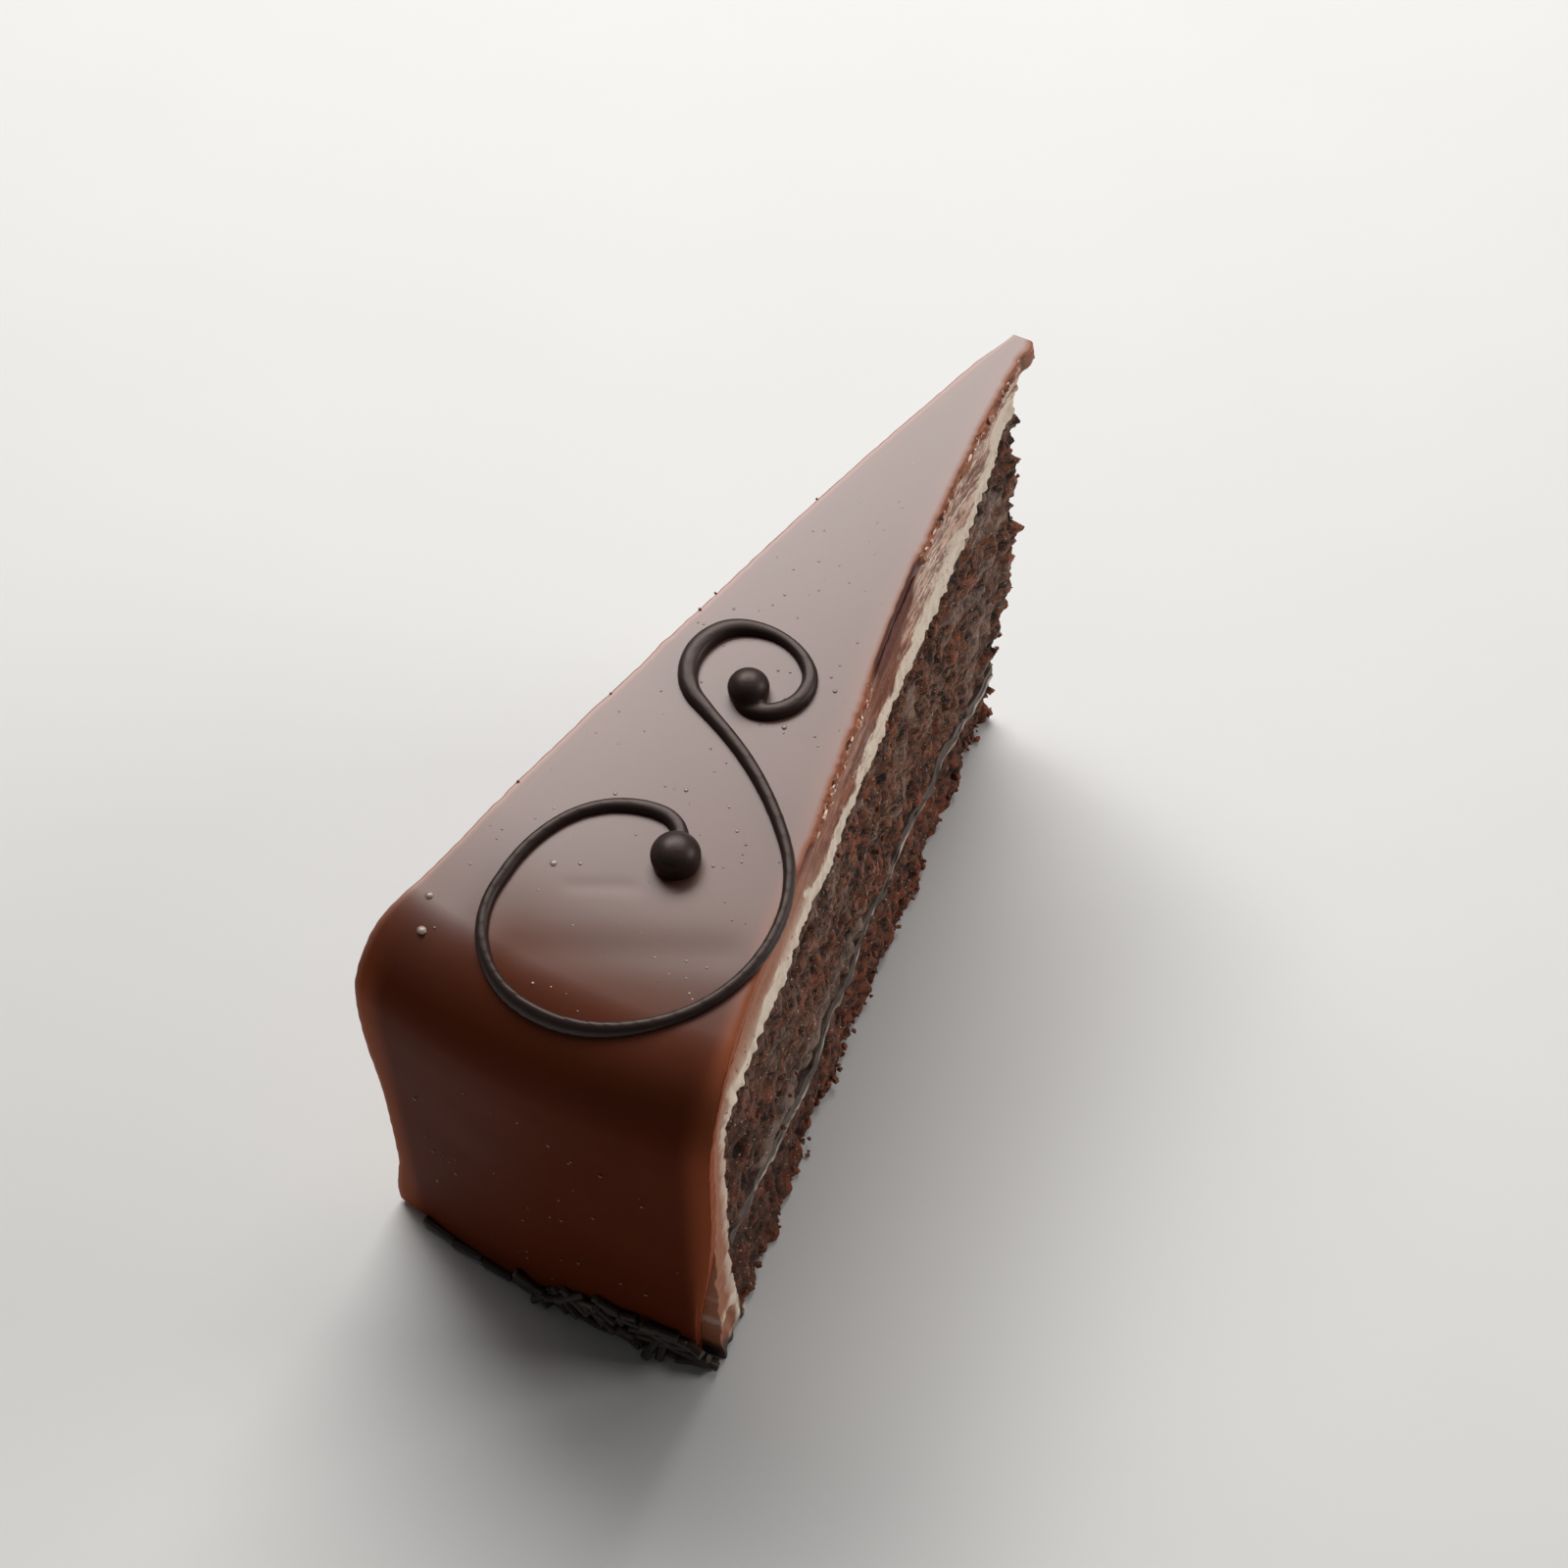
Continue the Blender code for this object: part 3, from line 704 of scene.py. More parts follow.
def spatula_dip(x, y):
    """Depth of the shallow marks that the spatula left across the top."""
    dip = 0.0
    for start, end, depth, half in SPATULA_MARKS:
        away, share = from_segment(x / MM, y / MM, start, end)
        dip += depth * MM * math.exp(-(away / half) ** 2) * hump(0.15, 0.85, share, 0.15)
    return dip


def shoulder_droop(r):
    """The poured face starts to sink a little before the shoulder."""
    return 0.75 * MM * smooth(89 * MM, 114 * MM, r) ** 2


def poured_top(x, y):
    """Height of the poured face at a point given from the cake's centre."""
    return top_surface(x, y) - shoulder_droop(math.hypot(x, y)) - spatula_dip(x, y)


def poured_dip(r, z, side, from_cut, settings):
    """How far the poured face lies below its even outline at a point."""
    into_edge = max(settings.edge_radius - from_cut, 0)
    rounding = settings.edge_radius - math.sqrt(settings.edge_radius ** 2 - into_edge ** 2)
    x = side * half_width(r)
    marks = spatula_dip(x, -math.sqrt(max(r * r - x * x, 0))) if z > 55 * MM else 0.0
    swell = crumb_noise(x + z, r, 26 * MM, 14.0) * 0.10 * MM
    rim_swell = smooth(112 * MM, 119 * MM, r) * crumb_noise(x, z, 21 * MM, 17.0) * 0.3 * MM
    return rounding + marks + swell + rim_swell + shoulder_droop(r) * smooth(44 * MM, 57 * MM, z)


def broken_lip(r, which):
    """1 where the cut tore the glaze's edge into a ragged strand, 0 where it is clean."""
    front = hump(3 * MM, 40 * MM, r, 1.2 * MM)
    back = hump(60.5 * MM, 82 * MM, r, 2.5 * MM)
    gaps = smooth(-0.42, -0.1, crumb_noise(r, 0, 1.9 * MM, 8.0 + which))
    return (front + back) * gaps if which > 0 else 0.0


def lip_relief(r, z, up, which, lip):
    """The torn strand along the upper half of the glaze's cut face."""
    strand = hump(0.42, 0.85, up, 0.25) * (0.28 + crumb_noise(r, z, 1.5 * MM, 5.0) * 0.5) * MM
    grit = crumb_noise(r, z, 0.6 * MM, 6.0 + which) * 0.3 * MM
    return lip * (strand + grit)


def towards_cuts(side):
    """Bunches the rows of a block near both cuts."""
    return side * (2 - abs(side))


def make_glaze_coat(settings):
    def shape(along, up, side):
        side = towards_cuts(side)
        which = 1 if side > 0 else -1
        depth = glaze_depth(along) * (1 - up)
        r, z = coat_outline(along, depth, GLAZE_FOOT_Z)
        from_cut = (1 - abs(side)) * half_width(r)
        depth += poured_dip(r, z, side, from_cut, settings) * up
        r, z = coat_outline(along, depth, GLAZE_FOOT_Z)
        near_cut = smooth(3 * MM, 0, from_cut)
        lip = broken_lip(r, which)
        at_ends = smooth(9 * MM, 3 * MM, r) + smooth(104 * MM, 114 * MM, r)
        relief = glaze_relief(r, z, up, which) * mix(0.5, 1, at_ends)
        relief += crumb_noise(r, z, 1.4 * MM, 7.0 + which) * 0.10 * MM
        relief += lip_relief(r, z, up, which, lip)
        on_right = smooth(-0.2, 0.2, side)
        return placed(r, side, z, relief * near_cut), (from_cut, 1 - up, lip, on_right)

    coat = cut_block("glaze_coat", GLAZE_ROWS)
    bend_block(coat, shape, ("from_cut", "inward", "lip", "on_right"))
    return coat


def glaze_finish(settings):
    f = Finish("glaze_finish")
    x, y, z = f.xyz()
    r = f.radius(x, y)
    from_cut = f.mark("from_cut")
    lip = f.mark("lip")
    right = f.mark("on_right")
    on_top = f.ramp(z, 50 * MM, 60 * MM)
    near_shoulder = f.ramp(r, 82 * MM, 92 * MM) * on_top
    recessed = f.hump(43 * MM, 57 * MM, r, 3 * MM)
    edge = f.ramp(from_cut, 0.5 * MM, 0.25 * MM)
    soft_edge = f.ramp(from_cut, 1.0 * MM, 0.25 * MM)
    on_cut = f.ramp(from_cut, 0.16 * MM, 0.06 * MM)
    mottle = f.noise(9 * MM)
    streaks = f.noise(1.3 * MM, detail=4.0, roughness=0.6, scale=(0.1, 0.3, 1))
    # Bright flecks of painted highlight on the torn strand
    flecks = f.ramp(f.noise(0.7 * MM, detail=2.0), 0.60, 0.68)
    # The poured faces
    top = f.toned(settings.chocolate, 1.3, mottle)
    rim = f.toned(settings.rim, 1.25, mottle)
    # Painted light: glow of light through the thin glaze, warmest at the cuts and stronger on the
    # right cut beyond r = 40 mm
    warm = f.ramp(from_cut, 4.5 * MM, 0.0) ** 2.0
    glowing = 0.12 + 0.14 * right * f.ramp(r, 40 * MM, 60 * MM)
    orange = near_shoulder * right * f.ramp(from_cut, 2.4 * MM, 0.2 * MM)
    line = edge * on_top * (1 - near_shoulder) * right * f.clamp(lip * 0.35 + recessed)
    poured = f.layers(
        rim,
        # painted shade: the top fades to the darker rim colour over the shoulder
        (top, on_top * (1 - 0.6 * f.ramp(r, 100 * MM, 113 * MM))),
        # painted light: glow of light through the thin glaze near the cuts
        (settings.glow, on_top * warm * glowing),
        (settings.amber, (1 - on_top) * f.ramp(from_cut, 4 * MM, 0.3 * MM) ** 1.2),
        # painted light: the same glow near the right cut at the shoulder
        (settings.glow, orange * 0.38),
        # partly painted light: copper where the rounded right edge catches the light
        (settings.copper, soft_edge * on_top * right * (1 - near_shoulder) * 0.7),
        # painted light: glow of backlight along the left edge
        (settings.salmon, soft_edge * (1 - right) * 0.55),
        (settings.maroon, line * 0.85))
    # The cut face in its shaded maroon, with the torn strand where the lip is broken. On the
    # strand: painted highlight flecks, and behind r = 59 mm the painted glow; on the cut face: the
    # painted glow at the shoulder and a paler tip that is painted light
    strand = f.layers(
        settings.copper,
        (settings.maroon, f.ramp(streaks, 0.54, 0.66) * 0.7),
        (settings.glow, f.ramp(r, 59 * MM, 63 * MM) * 0.6),
        (settings.highlight_fleck, flecks * 0.9))
    cut_on_top = f.layers(
        settings.maroon,
        (settings.copper, f.ramp(f.mark("inward"), 0.35, 1.0) * 0.5),
        (strand, lip),
        (settings.glow, near_shoulder * 0.9),
        # painted light: the cut paler at the tip, where the light is brighter
        (settings.pale, f.ramp(r, 10 * MM, 4 * MM) * 0.7))
    surface = f.blend(poured, f.blend(settings.amber, cut_on_top, on_top), on_cut)
    # Relief finer than the mesh
    pits = f.ramp(f.cells(1.3 * MM), 0.12, 0.0) * f.ramp(f.noise(6 * MM), 0.5, 0.62)
    normal = f.relief(
        (f.noise(0.22 * MM, detail=2.0), 0.02 * MM, 0.5),
        (pits, 0.12 * MM, 0.6),
        (f.noise(14 * MM, detail=1.0), 0.5 * MM, 0.25),
        (streaks * on_cut, 0.4 * MM, 0.8))
    # The satin skin, full on the level top and all but gone on the rim
    slanted = f.noise(16 * MM, detail=1.0, scale=(0.7, 0.7, 1), turn=(0, 0.7, 0))
    sinking = f.ramp(r, 97 * MM, 112 * MM) * f.ramp(x, -17 * MM, -7 * MM)
    level = f.ramp(z, SKIN_FROM_Z, SKIN_FULL_Z) * (1 - 0.75 * sinking)
    skin = settings.sheen_on_rim + level * (settings.sheen_on_top - settings.sheen_on_rim)
    bands = (1 - on_top) * f.ramp(z, 12 * MM, 34 * MM) * f.ramp(slanted, 0.5, 0.7)
    skin = skin + bands * 0.02
    return f.shade(
        Base_Color=surface, Roughness=0.5 - 0.1 * on_cut,
        Coat_Weight=skin * (1 - soft_edge * right * 0.8), Coat_Roughness=settings.roughness,
        Coat_IOR=SKIN_IOR, Normal=normal, Specular_IOR_Level=0.025,
        Subsurface_Weight=0.10, Subsurface_Radius=(1.0, 0.3, 0.12), Subsurface_Scale=1.2 * MM)


# The cream
def make_cream_coat():
    def shape(along, up, side):
        which = 1 if side > 0 else -1
        inner_r, inner_z = sponge_outline(along, -OVERLAP)
        outer_r, outer_z = coat_outline(along, glaze_depth(along) - OVERLAP, 0.0)
        r = mix(inner_r, outer_r, up)
        z = mix(inner_z, outer_z, up)
        on_top = smooth(44 * MM, 52 * MM, z)
        streaks = crumb_noise(r / 8, z, 1.1 * MM, 61.0 + which) * 0.35 * MM
        torn = smooth(0.38, 0.05, up) * crumb_noise(r, z, 1.2 * MM, 63.0 + which) * 0.7 * MM
        foot = smooth(24 * MM, 6 * MM, z)
        curls = foot * crumb_noise(r, z / 1.6, 2.3 * MM, 65.0 + which) * 1.1 * MM
        grit = crumb_noise(r, z, 0.7 * MM, 67.0) * 0.12 * MM
        relief = cream_relief(r, z, up, which) + mix(0.3, 1, on_top) * streaks + torn * on_top
        ragged = crumb_noise(r, 0, 2.6 * MM, 69.0 + which) + 0.7 * crumb_noise(r, 0, 0.8 * MM, 70.0)
        z -= smooth(0.3, 0.0, up) * on_top * clamped(ragged) * 0.9 * MM
        return placed(r, side, z, relief + curls + grit), (up, (curls + torn) / MM)

    coat = cut_block("cream_coat", CREAM_ROWS)
    bend_block(coat, shape, ("outward", "raised"))
    return coat


def cream_finish(settings):
    f = Finish("cream_finish")
    x, y, z = f.xyz()
    r = f.radius(x, y)
    outward = f.mark("outward")
    on_top = f.ramp(z, 44 * MM, 51 * MM)
    streaks = f.noise(1.6 * MM, detail=6.0, roughness=0.62, scale=(0.1, 0.16, 1))
    threads = f.noise(0.5 * MM, detail=4.0, roughness=0.6, scale=(0.1, 0.2, 1))
    patches = f.noise(3.6 * MM, detail=5.0, roughness=0.65, scale=(1, 0.45, 1))
    fine = f.noise(0.6 * MM)
    # The band under the top: grey and paler at the tip, partly painted light there, dull and rusty
    # behind it, a shaded stretch, smooth and tan at the shoulder, and a clean torn edge along the
    # sponge
    to_tip = f.ramp(r, 52 * MM, 34 * MM)
    rusty = f.ramp(streaks, 0.54, 0.44) * f.ramp(outward, 0.16, 0.36)
    blots = f.ramp(patches, 0.53, 0.60) * f.ramp(outward, 0.55, 0.22) * (1 - to_tip)
    shaded = f.hump(42 * MM, 56 * MM, r, 4 * MM) * f.ramp(x, -1 * MM, 1 * MM)
    smooth_part = f.blend(settings.beige, settings.tan, f.ramp(outward, 0.12, 0.55))
    torn_edge = f.ramp(outward + (patches - 0.5) * 0.8, 0.36, 0.26)
    body = f.layers(
        settings.dull,
        (settings.grey, f.clamp(to_tip + f.ramp(streaks, 0.54, 0.66) * 0.35)),
        (settings.rust, rusty * (0.9 - 0.15 * to_tip)),
        (settings.rust, blots * 0.9),
        (settings.beige, f.ramp(threads, 0.53, 0.61) * (0.10 + 0.8 * to_tip)),
        (settings.rust, f.ramp(threads, 0.47, 0.39) * 0.8),
        (settings.mahogany, shaded * f.ramp(outward + (streaks - 0.5) * 0.3, 0.56, 0.74)),
        (smooth_part, f.ramp(r, 76 * MM, 90 * MM) * 0.92),
        (settings.beige, torn_edge * (1 - 0.25 * f.ramp(threads, 0.45, 0.3))))
    # The band down the rim, with specks on both and a foot that is soaked with glaze
    stained = f.clamp(0.2 + f.ramp(outward, 0.0, 0.75) + f.ramp(patches, 0.45, 0.7) * 0.4)
    curled = f.ramp(f.mark("raised"), 0.05, 0.35) * f.ramp(z, 26 * MM, 12 * MM)
    specks = f.ramp(f.noise(1.0 * MM, detail=4.0), 0.66, 0.70)
    foot = f.ramp(z, 5 * MM, 1.5 * MM) * f.ramp(f.noise(2.5 * MM), 0.35, 0.5)
    surface = f.layers(
        settings.beige, (settings.tan, stained), (settings.beige, curled), (body, on_top),
        (settings.rust, specks * 0.7), (settings.soaked, foot))
    return f.shade(
        Base_Color=surface, Roughness=0.62 - 0.15 * fine + 0.25 * shaded * on_top,
        Normal=f.relief((streaks, 0.5 * MM, 0.6), (fine, 0.12 * MM, 0.6)),
        Subsurface_Weight=0.12, Subsurface_Radius=(1.0, 0.6, 0.4), Subsurface_Scale=0.6 * MM)


# The sponges and the filling
def crumb_lumps(r, z, seed, settings):
    """Lumps and pores of the torn crumb: their relief, how dark the point is painted as shade in
    clefts, pores and low spots, and the lump's own random tone."""
    spot = Vector((r / settings.clump_length, z / settings.clump_height, seed))
    spot += noise.noise_vector(spot * 0.7) * 0.35
    distances, centres = noise.voronoi(spot)
    shade = noise.cell(centres[0] * 7.3)
    cleft = 1 - smooth(0.0, CLEFT_WIDTH, distances[1] - distances[0])
    wide_spot = Vector((r / settings.pore_length, z / settings.pore_height, seed + 40))
    wide_spot += noise.noise_vector(wide_spot * 1.3) * 0.4
    wide_distances, wide_centres = noise.voronoi(wide_spot)
    is_pore = noise.cell(wide_centres[0] * 5.1) < PORE_SHARE
    pore = smooth(0.46, 0.2, wide_distances[0]) if is_pore else 0.0
    rough = crumb_noise(r, z, 1.5 * MM, seed + 3) + 0.6 * crumb_noise(r, z, 0.75 * MM, seed + 6)
    drag = crumb_noise(r / 5, z, 1.3 * MM, seed + 9)
    relief = (0.1 + (shade - 0.5) * 0.35 + rough * 0.4 + drag * 0.4 - 0.28 * cleft - pore) * MM
    # the second value is painted shade: darker in clefts, in pores and where the crumb lies low
    return relief, max(cleft * 0.4, pore, smooth(0.1, -0.6, rough + 0.7 * drag) * 0.8), shade


def smeared(r, z, seed):
    """How much cream the knife dragged over the crumb at a point, with extra near the tip as
    painted light.
    """
    above = z - filling_bottom(r) - FILLING_THICKNESS
    streak = noise.noise(Vector((r / (9 * MM), z / (1.7 * MM), seed))) * 0.5 + 0.5
    broad = noise.noise(Vector((r / (22 * MM), z / (7 * MM), seed + 4))) * 0.5 + 0.5
    by_filling = hump(0.0, 2 * MM, above, 5 * MM) * smooth(40 * MM, 76 * MM, r)
    # A paler veil of cream colour near the tip: painted light, as the tip stands in brighter light
    tip_haze = smooth(34 * MM, 8 * MM, r) * smooth(14 * MM, 30 * MM, z)
    by_cream = smooth(6 * MM, 0, sponge_top(r) - z) * 0.5
    by_rim = smooth(92 * MM, 108 * MM, r)
    amount = 0.32 - 0.25 * by_rim + 0.4 * by_filling + 0.12 * tip_haze + 0.2 * by_cream
    amount += (broad - 0.5) * 0.7
    return smooth(0.62, 0.30, streak + 0.5 - amount)


def sponge_shape(bottom, top, settings):
    """The points of a sponge between two heights that depend on the radius."""
    def shape(along, up, side):
        which = 1 if side > 0 else -1
        r = mix(TIP_START, SPONGE_RADIUS, along)
        z = mix(bottom(r), top(r), up)
        r = mix(sponge_start(z), sponge_rim(z), along)
        at_tip = smooth(0.03, 0.0, along)
        outward = tip_relief(z, side) * at_tip
        relief, pit, shade = crumb_lumps(r - side * at_tip * 2 * MM, z, 71.0 + which, settings)
        smear = smeared(r, z, 75.0 + which)
        # Crevices just under the cream: the crumb is sunk there and painted dark as shadow
        below_cream = smooth(2.4 * MM, 0.5 * MM, sponge_top(r) - z)
        crevice = below_cream * smooth(0.0, 0.3, crumb_noise(r, 0, 3.2 * MM, 77.0 + which))
        relief -= crevice * 0.7 * MM
        pit = max(pit, crevice)
        relief *= 1 - 0.45 * smear
        outward += max(relief, -0.5 * MM) * at_tip * 0.5
        point = placed(r - outward, side, z, crumb_relief(r, z, which) + relief)
        return point, (pit * (1 - 0.4 * smear), smear, shade)
    return shape


def make_sponge(name, rows, bottom, top, settings):
    sponge = cut_block(name, rows)
    bend_block(sponge, sponge_shape(bottom, top, settings), ("pit", "smear", "warmth"))
    return sponge


def make_upper_sponge(settings):
    def bottom(r):
        return filling_bottom(r) + FILLING_THICKNESS - OVERLAP
    return make_sponge("upper_sponge", UPPER_SPONGE_ROWS, bottom, sponge_top, settings)


def make_lower_sponge(settings):
    def bottom(r):
        return 0.0
    return make_sponge("lower_sponge", LOWER_SPONGE_ROWS, bottom, filling_bottom, settings)


def sponge_finish(name, settings, redness, smear_strength, darkness):
    f = Finish(name)
    x, y, z = f.xyz()
    smear = f.mark("smear")
    grit = f.noise(0.22 * MM, roughness=0.6)
    fine = f.noise(0.7 * MM, detail=5.0, roughness=0.7, scale=(0.5, 0.5, 1))
    medium = f.noise(1.9 * MM, detail=4.0, roughness=0.6, scale=(0.5, 0.5, 1))
    threads = f.noise(0.8 * MM, detail=5.0, roughness=0.7, scale=(0.1, 0.3, 1))
    broad = f.noise(7 * MM, detail=2.0, scale=(0.35, 0.35, 1))
    warm = f.ramp(f.mark("warmth") + (medium - 0.5) * 1.6, 0.42, 0.72) * redness
    veil = smear * f.ramp(medium, 0.3, 0.55) + f.ramp(broad, 0.5, 0.62) * 0.35
    cover = f.clamp(veil * smear_strength + f.ramp(threads, 0.52, 0.66) * 0.45)
    # Painted shade: the pore colour goes into the pits and clefts kept on the points and into small
    # hollows of fine noise, with some broader dark patches
    hollow = f.ramp(fine + (grit - 0.5) * 0.5, 0.54, 0.38)
    deep = f.mark("pit") * 0.95 + hollow * (0.6 - 0.3 * smear) + f.ramp(broad, 0.46, 0.34) * 0.3
    to_rim = f.ramp(CENTRE_Y - y, 50 * MM, 105 * MM)
    # Painted shade in long clefts between the crumb's fibres
    dark_streaks = f.maths(
        "MAXIMUM", f.ramp(medium, 0.46, 0.36) * 0.55, f.ramp(threads, 0.46, 0.38) * 0.5)
    # Painted highlights: bright specks where grains would catch the light
    glints = f.ramp(f.noise(0.4 * MM, detail=2.0), 0.67, 0.72)
    surface = f.layers(
        settings.crumb,
        (settings.red_crumb, f.clamp(warm + f.ramp(z, 10 * MM, 0.0) * 0.35)),
        (settings.smear, cover),
        (settings.pore, f.clamp(deep)),
        (settings.shaded, darkness + to_rim * 0.35),
        (settings.pore, dark_streaks),
        (settings.glint, glints * 0.8))
    normal = f.relief(
        (medium, 0.6 * MM, 0.7), (fine, 0.5 * MM, 0.9), (grit, 0.12 * MM, 0.8))
    return f.shade(Base_Color=surface, Roughness=0.8 - 0.2 * smear, Normal=normal)


def make_filling_smear():
    def shape(along, up, side):
        which = 1 if side > 0 else -1
        r = mix(TIP_START, SPONGE_RADIUS, along)
        ragged = crumb_noise(r, up * 9 * MM, 2.2 * MM, 81.0 + which) * 0.7 * MM
        z = filling_bottom(r) + FILLING_THICKNESS * up + ragged
        r = mix(sponge_start(z), sponge_rim(z), along)
        smear = crumb_noise(r, z, 7 * MM, 31.0 + which) * 0.5 * MM
        drag = crumb_noise(r / 3, z, 0.8 * MM, 83.0 + which) * 0.25 * MM
        ledge = smooth(0.5, 0.1, up) * 0.25 * MM
        return placed(r, side, z, smear + drag + ledge + 0.2 * MM), (up,)

    smear = cut_block("filling_smear", FILLING_ROWS)
    bend_block(smear, shape, ("rise",))
    return smear


def filling_finish(settings):
    f = Finish("filling_finish")
    streaks = f.noise(1.0 * MM, detail=5.0, roughness=0.65, scale=(1, 0.25, 1))
    x, y, z = f.xyz()
    inside_rim = f.ramp(CENTRE_Y - y, 108 * MM, 98 * MM)
    patches = f.ramp(f.noise(6 * MM), 0.38, 0.58)
    surface = f.layers(
        settings.paste,
        (settings.streak, f.ramp(streaks, 0.50, 0.62) * 0.8),
        (settings.bright, f.ramp(f.mark("rise"), 0.34, 0.10) * patches * inside_rim))
    return f.shade(
        Base_Color=surface, Roughness=0.5, Normal=f.relief((streaks, 0.4 * MM, 0.6)))


# The scroll
def along_arc(x, y, heading, length, turn):
    """Where an arc ends that leaves a point on a heading and turns evenly."""
    chord = length * (math.sin(turn / 2) / (turn / 2) if turn else 1.0)
    middle = heading + turn / 2
    return x + chord * math.cos(middle), y + chord * math.sin(middle), heading + turn


def scroll_point(share):
    """Position and heading at a share of the scroll's length."""
    left = share * sum(length for length, turn in SCROLL_RUNS) * MM
    spot = (*SCROLL_START, SCROLL_HEADING)
    for length, turn in SCROLL_RUNS:
        used = min(left, length * MM)
        spot = along_arc(*spot, used, math.radians(turn) * used / (length * MM))
        left -= used
    return spot


def scroll_half_width(share):
    for (low, low_width), (high, high_width) in zip(SCROLL_HALF_WIDTHS, SCROLL_HALF_WIDTHS[1:]):
        if share <= high:
            return mix(low_width, high_width, smooth(low, high, share)) * MM
    return SCROLL_HALF_WIDTHS[-1][1] * MM


def piped_line():
    """The scroll's line as a curve with a round bevel, made a mesh on the level z = 0."""
    deselect()
    curve = bpy.data.curves.new("piped_line", "CURVE")
    curve.dimensions = "3D"
    curve.bevel_depth = 1.0
    curve.bevel_resolution = 5
    curve.use_fill_caps = True
    line = bpy.data.objects.new("piped_line", curve)
    bpy.context.collection.objects.link(line)
    spline = curve.splines.new("POLY")
    spline.points.add(SCROLL_STATIONS - 1)
    for index, point in enumerate(spline.points):
        share = index / (SCROLL_STATIONS - 1)
        x, y, heading = scroll_point(share)
        point.co = (x, CENTRE_Y + y, 0, 1)
        point.radius = scroll_half_width(share)
    make_active(line)
    bpy.ops.object.convert(target="MESH")
    return bpy.context.object


def make_scroll(settings):
    """The line and its two pearls, melted together."""
    line = piped_line()
    for vert in line.data.vertices:
        x, y, z = vert.co
        vert.co.z = top_surface(x, y - CENTRE_Y) + SCROLL_LIFT + SCROLL_FLATNESS * (z + LINE_HEIGHT)
    pieces = [line]
    pearls = ((0, SMALL_PEARL, SMALL_PEARL_SHIFT), (1, LARGE_PEARL, LARGE_PEARL_SHIFT))
    for share, (half_wide, half_high), shift in pearls:
        x, y, heading = scroll_point(share)
        x += shift[0]
        y += shift[1]
        deselect()
        bpy.ops.mesh.primitive_uv_sphere_add(
            segments=48, ring_count=24, radius=half_wide,
            location=(x, CENTRE_Y + y, top_surface(x, y) + PEARL_SINK * half_high + SCROLL_LIFT),
            scale=(1, 1, PEARL_STRETCH * half_high / half_wide))
        pieces.append(take_new("pearl"))
    scroll = join(pieces, "piped_scroll")
    apply_modifier(scroll, "REMESH", mode="VOXEL", voxel_size=settings.voxel, use_smooth_shade=True)
    apply_modifier(scroll, "SMOOTH", factor=0.5, iterations=6)
    for vert in scroll.data.vertices:
        x, y, z = vert.co
        lifted = z - top_surface(x, y - CENTRE_Y) - SCROLL_LIFT
        sunk = lifted + SCROLL_LIFT * smooth(0.0, 0.8 * MM, lifted) - SCROLL_SINK
        vert.co.z = poured_top(x, y - CENTRE_Y) + sunk
    return scroll


def scroll_finish(settings):
    f = Finish("dark_chocolate_finish")
    soft = f.noise(2.2 * MM, detail=2.0)
    grain = f.noise(0.3 * MM, detail=2.0)
    return f.shade(
        Base_Color=f.toned(settings.chocolate, 1.5, soft),
        Roughness=settings.roughness + 0.08 * (soft - 0.5),
        Normal=f.relief((soft, 0.12 * MM, 0.4), (grain, 0.015 * MM, 0.5)),
        Specular_Tint=(1.0, 0.82, 0.76))


# The sprinkles
def rod_ends(side, z, stand_off, yaw, tilt, length):
    """The two ends of a rod that lies against the foot: side places it round the rim."""
    inward_reach = abs(math.sin(yaw)) * length / 2 + SPRINKLE_RADIUS
    r = max(CAKE_RADIUS + stand_off, CAKE_RADIUS - GLAZE_ON_SIDE + 0.8 * MM + inward_reach)
    angle = side * SLICE_ANGLE / 2
    z = max(z, abs(math.sin(tilt)) * length / 2 + SPRINKLE_RADIUS + SPRINKLE_CLEARANCE)
    middle = Vector((r * math.sin(angle), CENTRE_Y - r * math.cos(angle), z))
    turned = Matrix.Rotation(angle + yaw, 3, "Z") @ Matrix.Rotation(tilt, 3, "Y")
    half = turned @ Vector((length / 2, 0, 0))
    return middle - half, middle + half


def pile_top(side):
    """Height of the loose pile: it climbs from the middle and falls at the right corner."""
    return (2.7 + 4.4 * smooth(0.0, 0.24, side) - 3.4 * smooth(0.86, 0.96, side)) * MM


def sprinkle_rods():
    """One row end to end along the foot, a pile on its right half and some rods laid singly,
    as in the solid."""
    draw = random.Random(5)
    rods = []
    for index in range(FOOT_ROW_COUNT):
        side = mix(*FOOT_ROW_SIDES, index / (FOOT_ROW_COUNT - 1))
        rods.append(rod_ends(
            side, 0.67 * MM, draw.uniform(0.2, 0.45) * MM, draw.uniform(-0.12, 0.12),
            draw.uniform(-0.05, 0.05), draw.uniform(4.4 * MM, 5.2 * MM)))
    for index in range(PILE_COUNT):
        side = mix(*PILE_SIDES, (index + 0.5) / PILE_COUNT)
        z = mix(1.5 * MM, pile_top(side) - 0.7 * MM, draw.random())
        rods.append(rod_ends(
            side, z, draw.uniform(0.1, 0.5) * MM, draw.uniform(-0.4, 0.4),
            draw.uniform(-0.7, 0.7), draw.uniform(*SPRINKLE_LENGTHS)))
    rods += [(Vector(start) * MM, Vector(end) * MM) for start, end in LAID_RODS]
    return rods


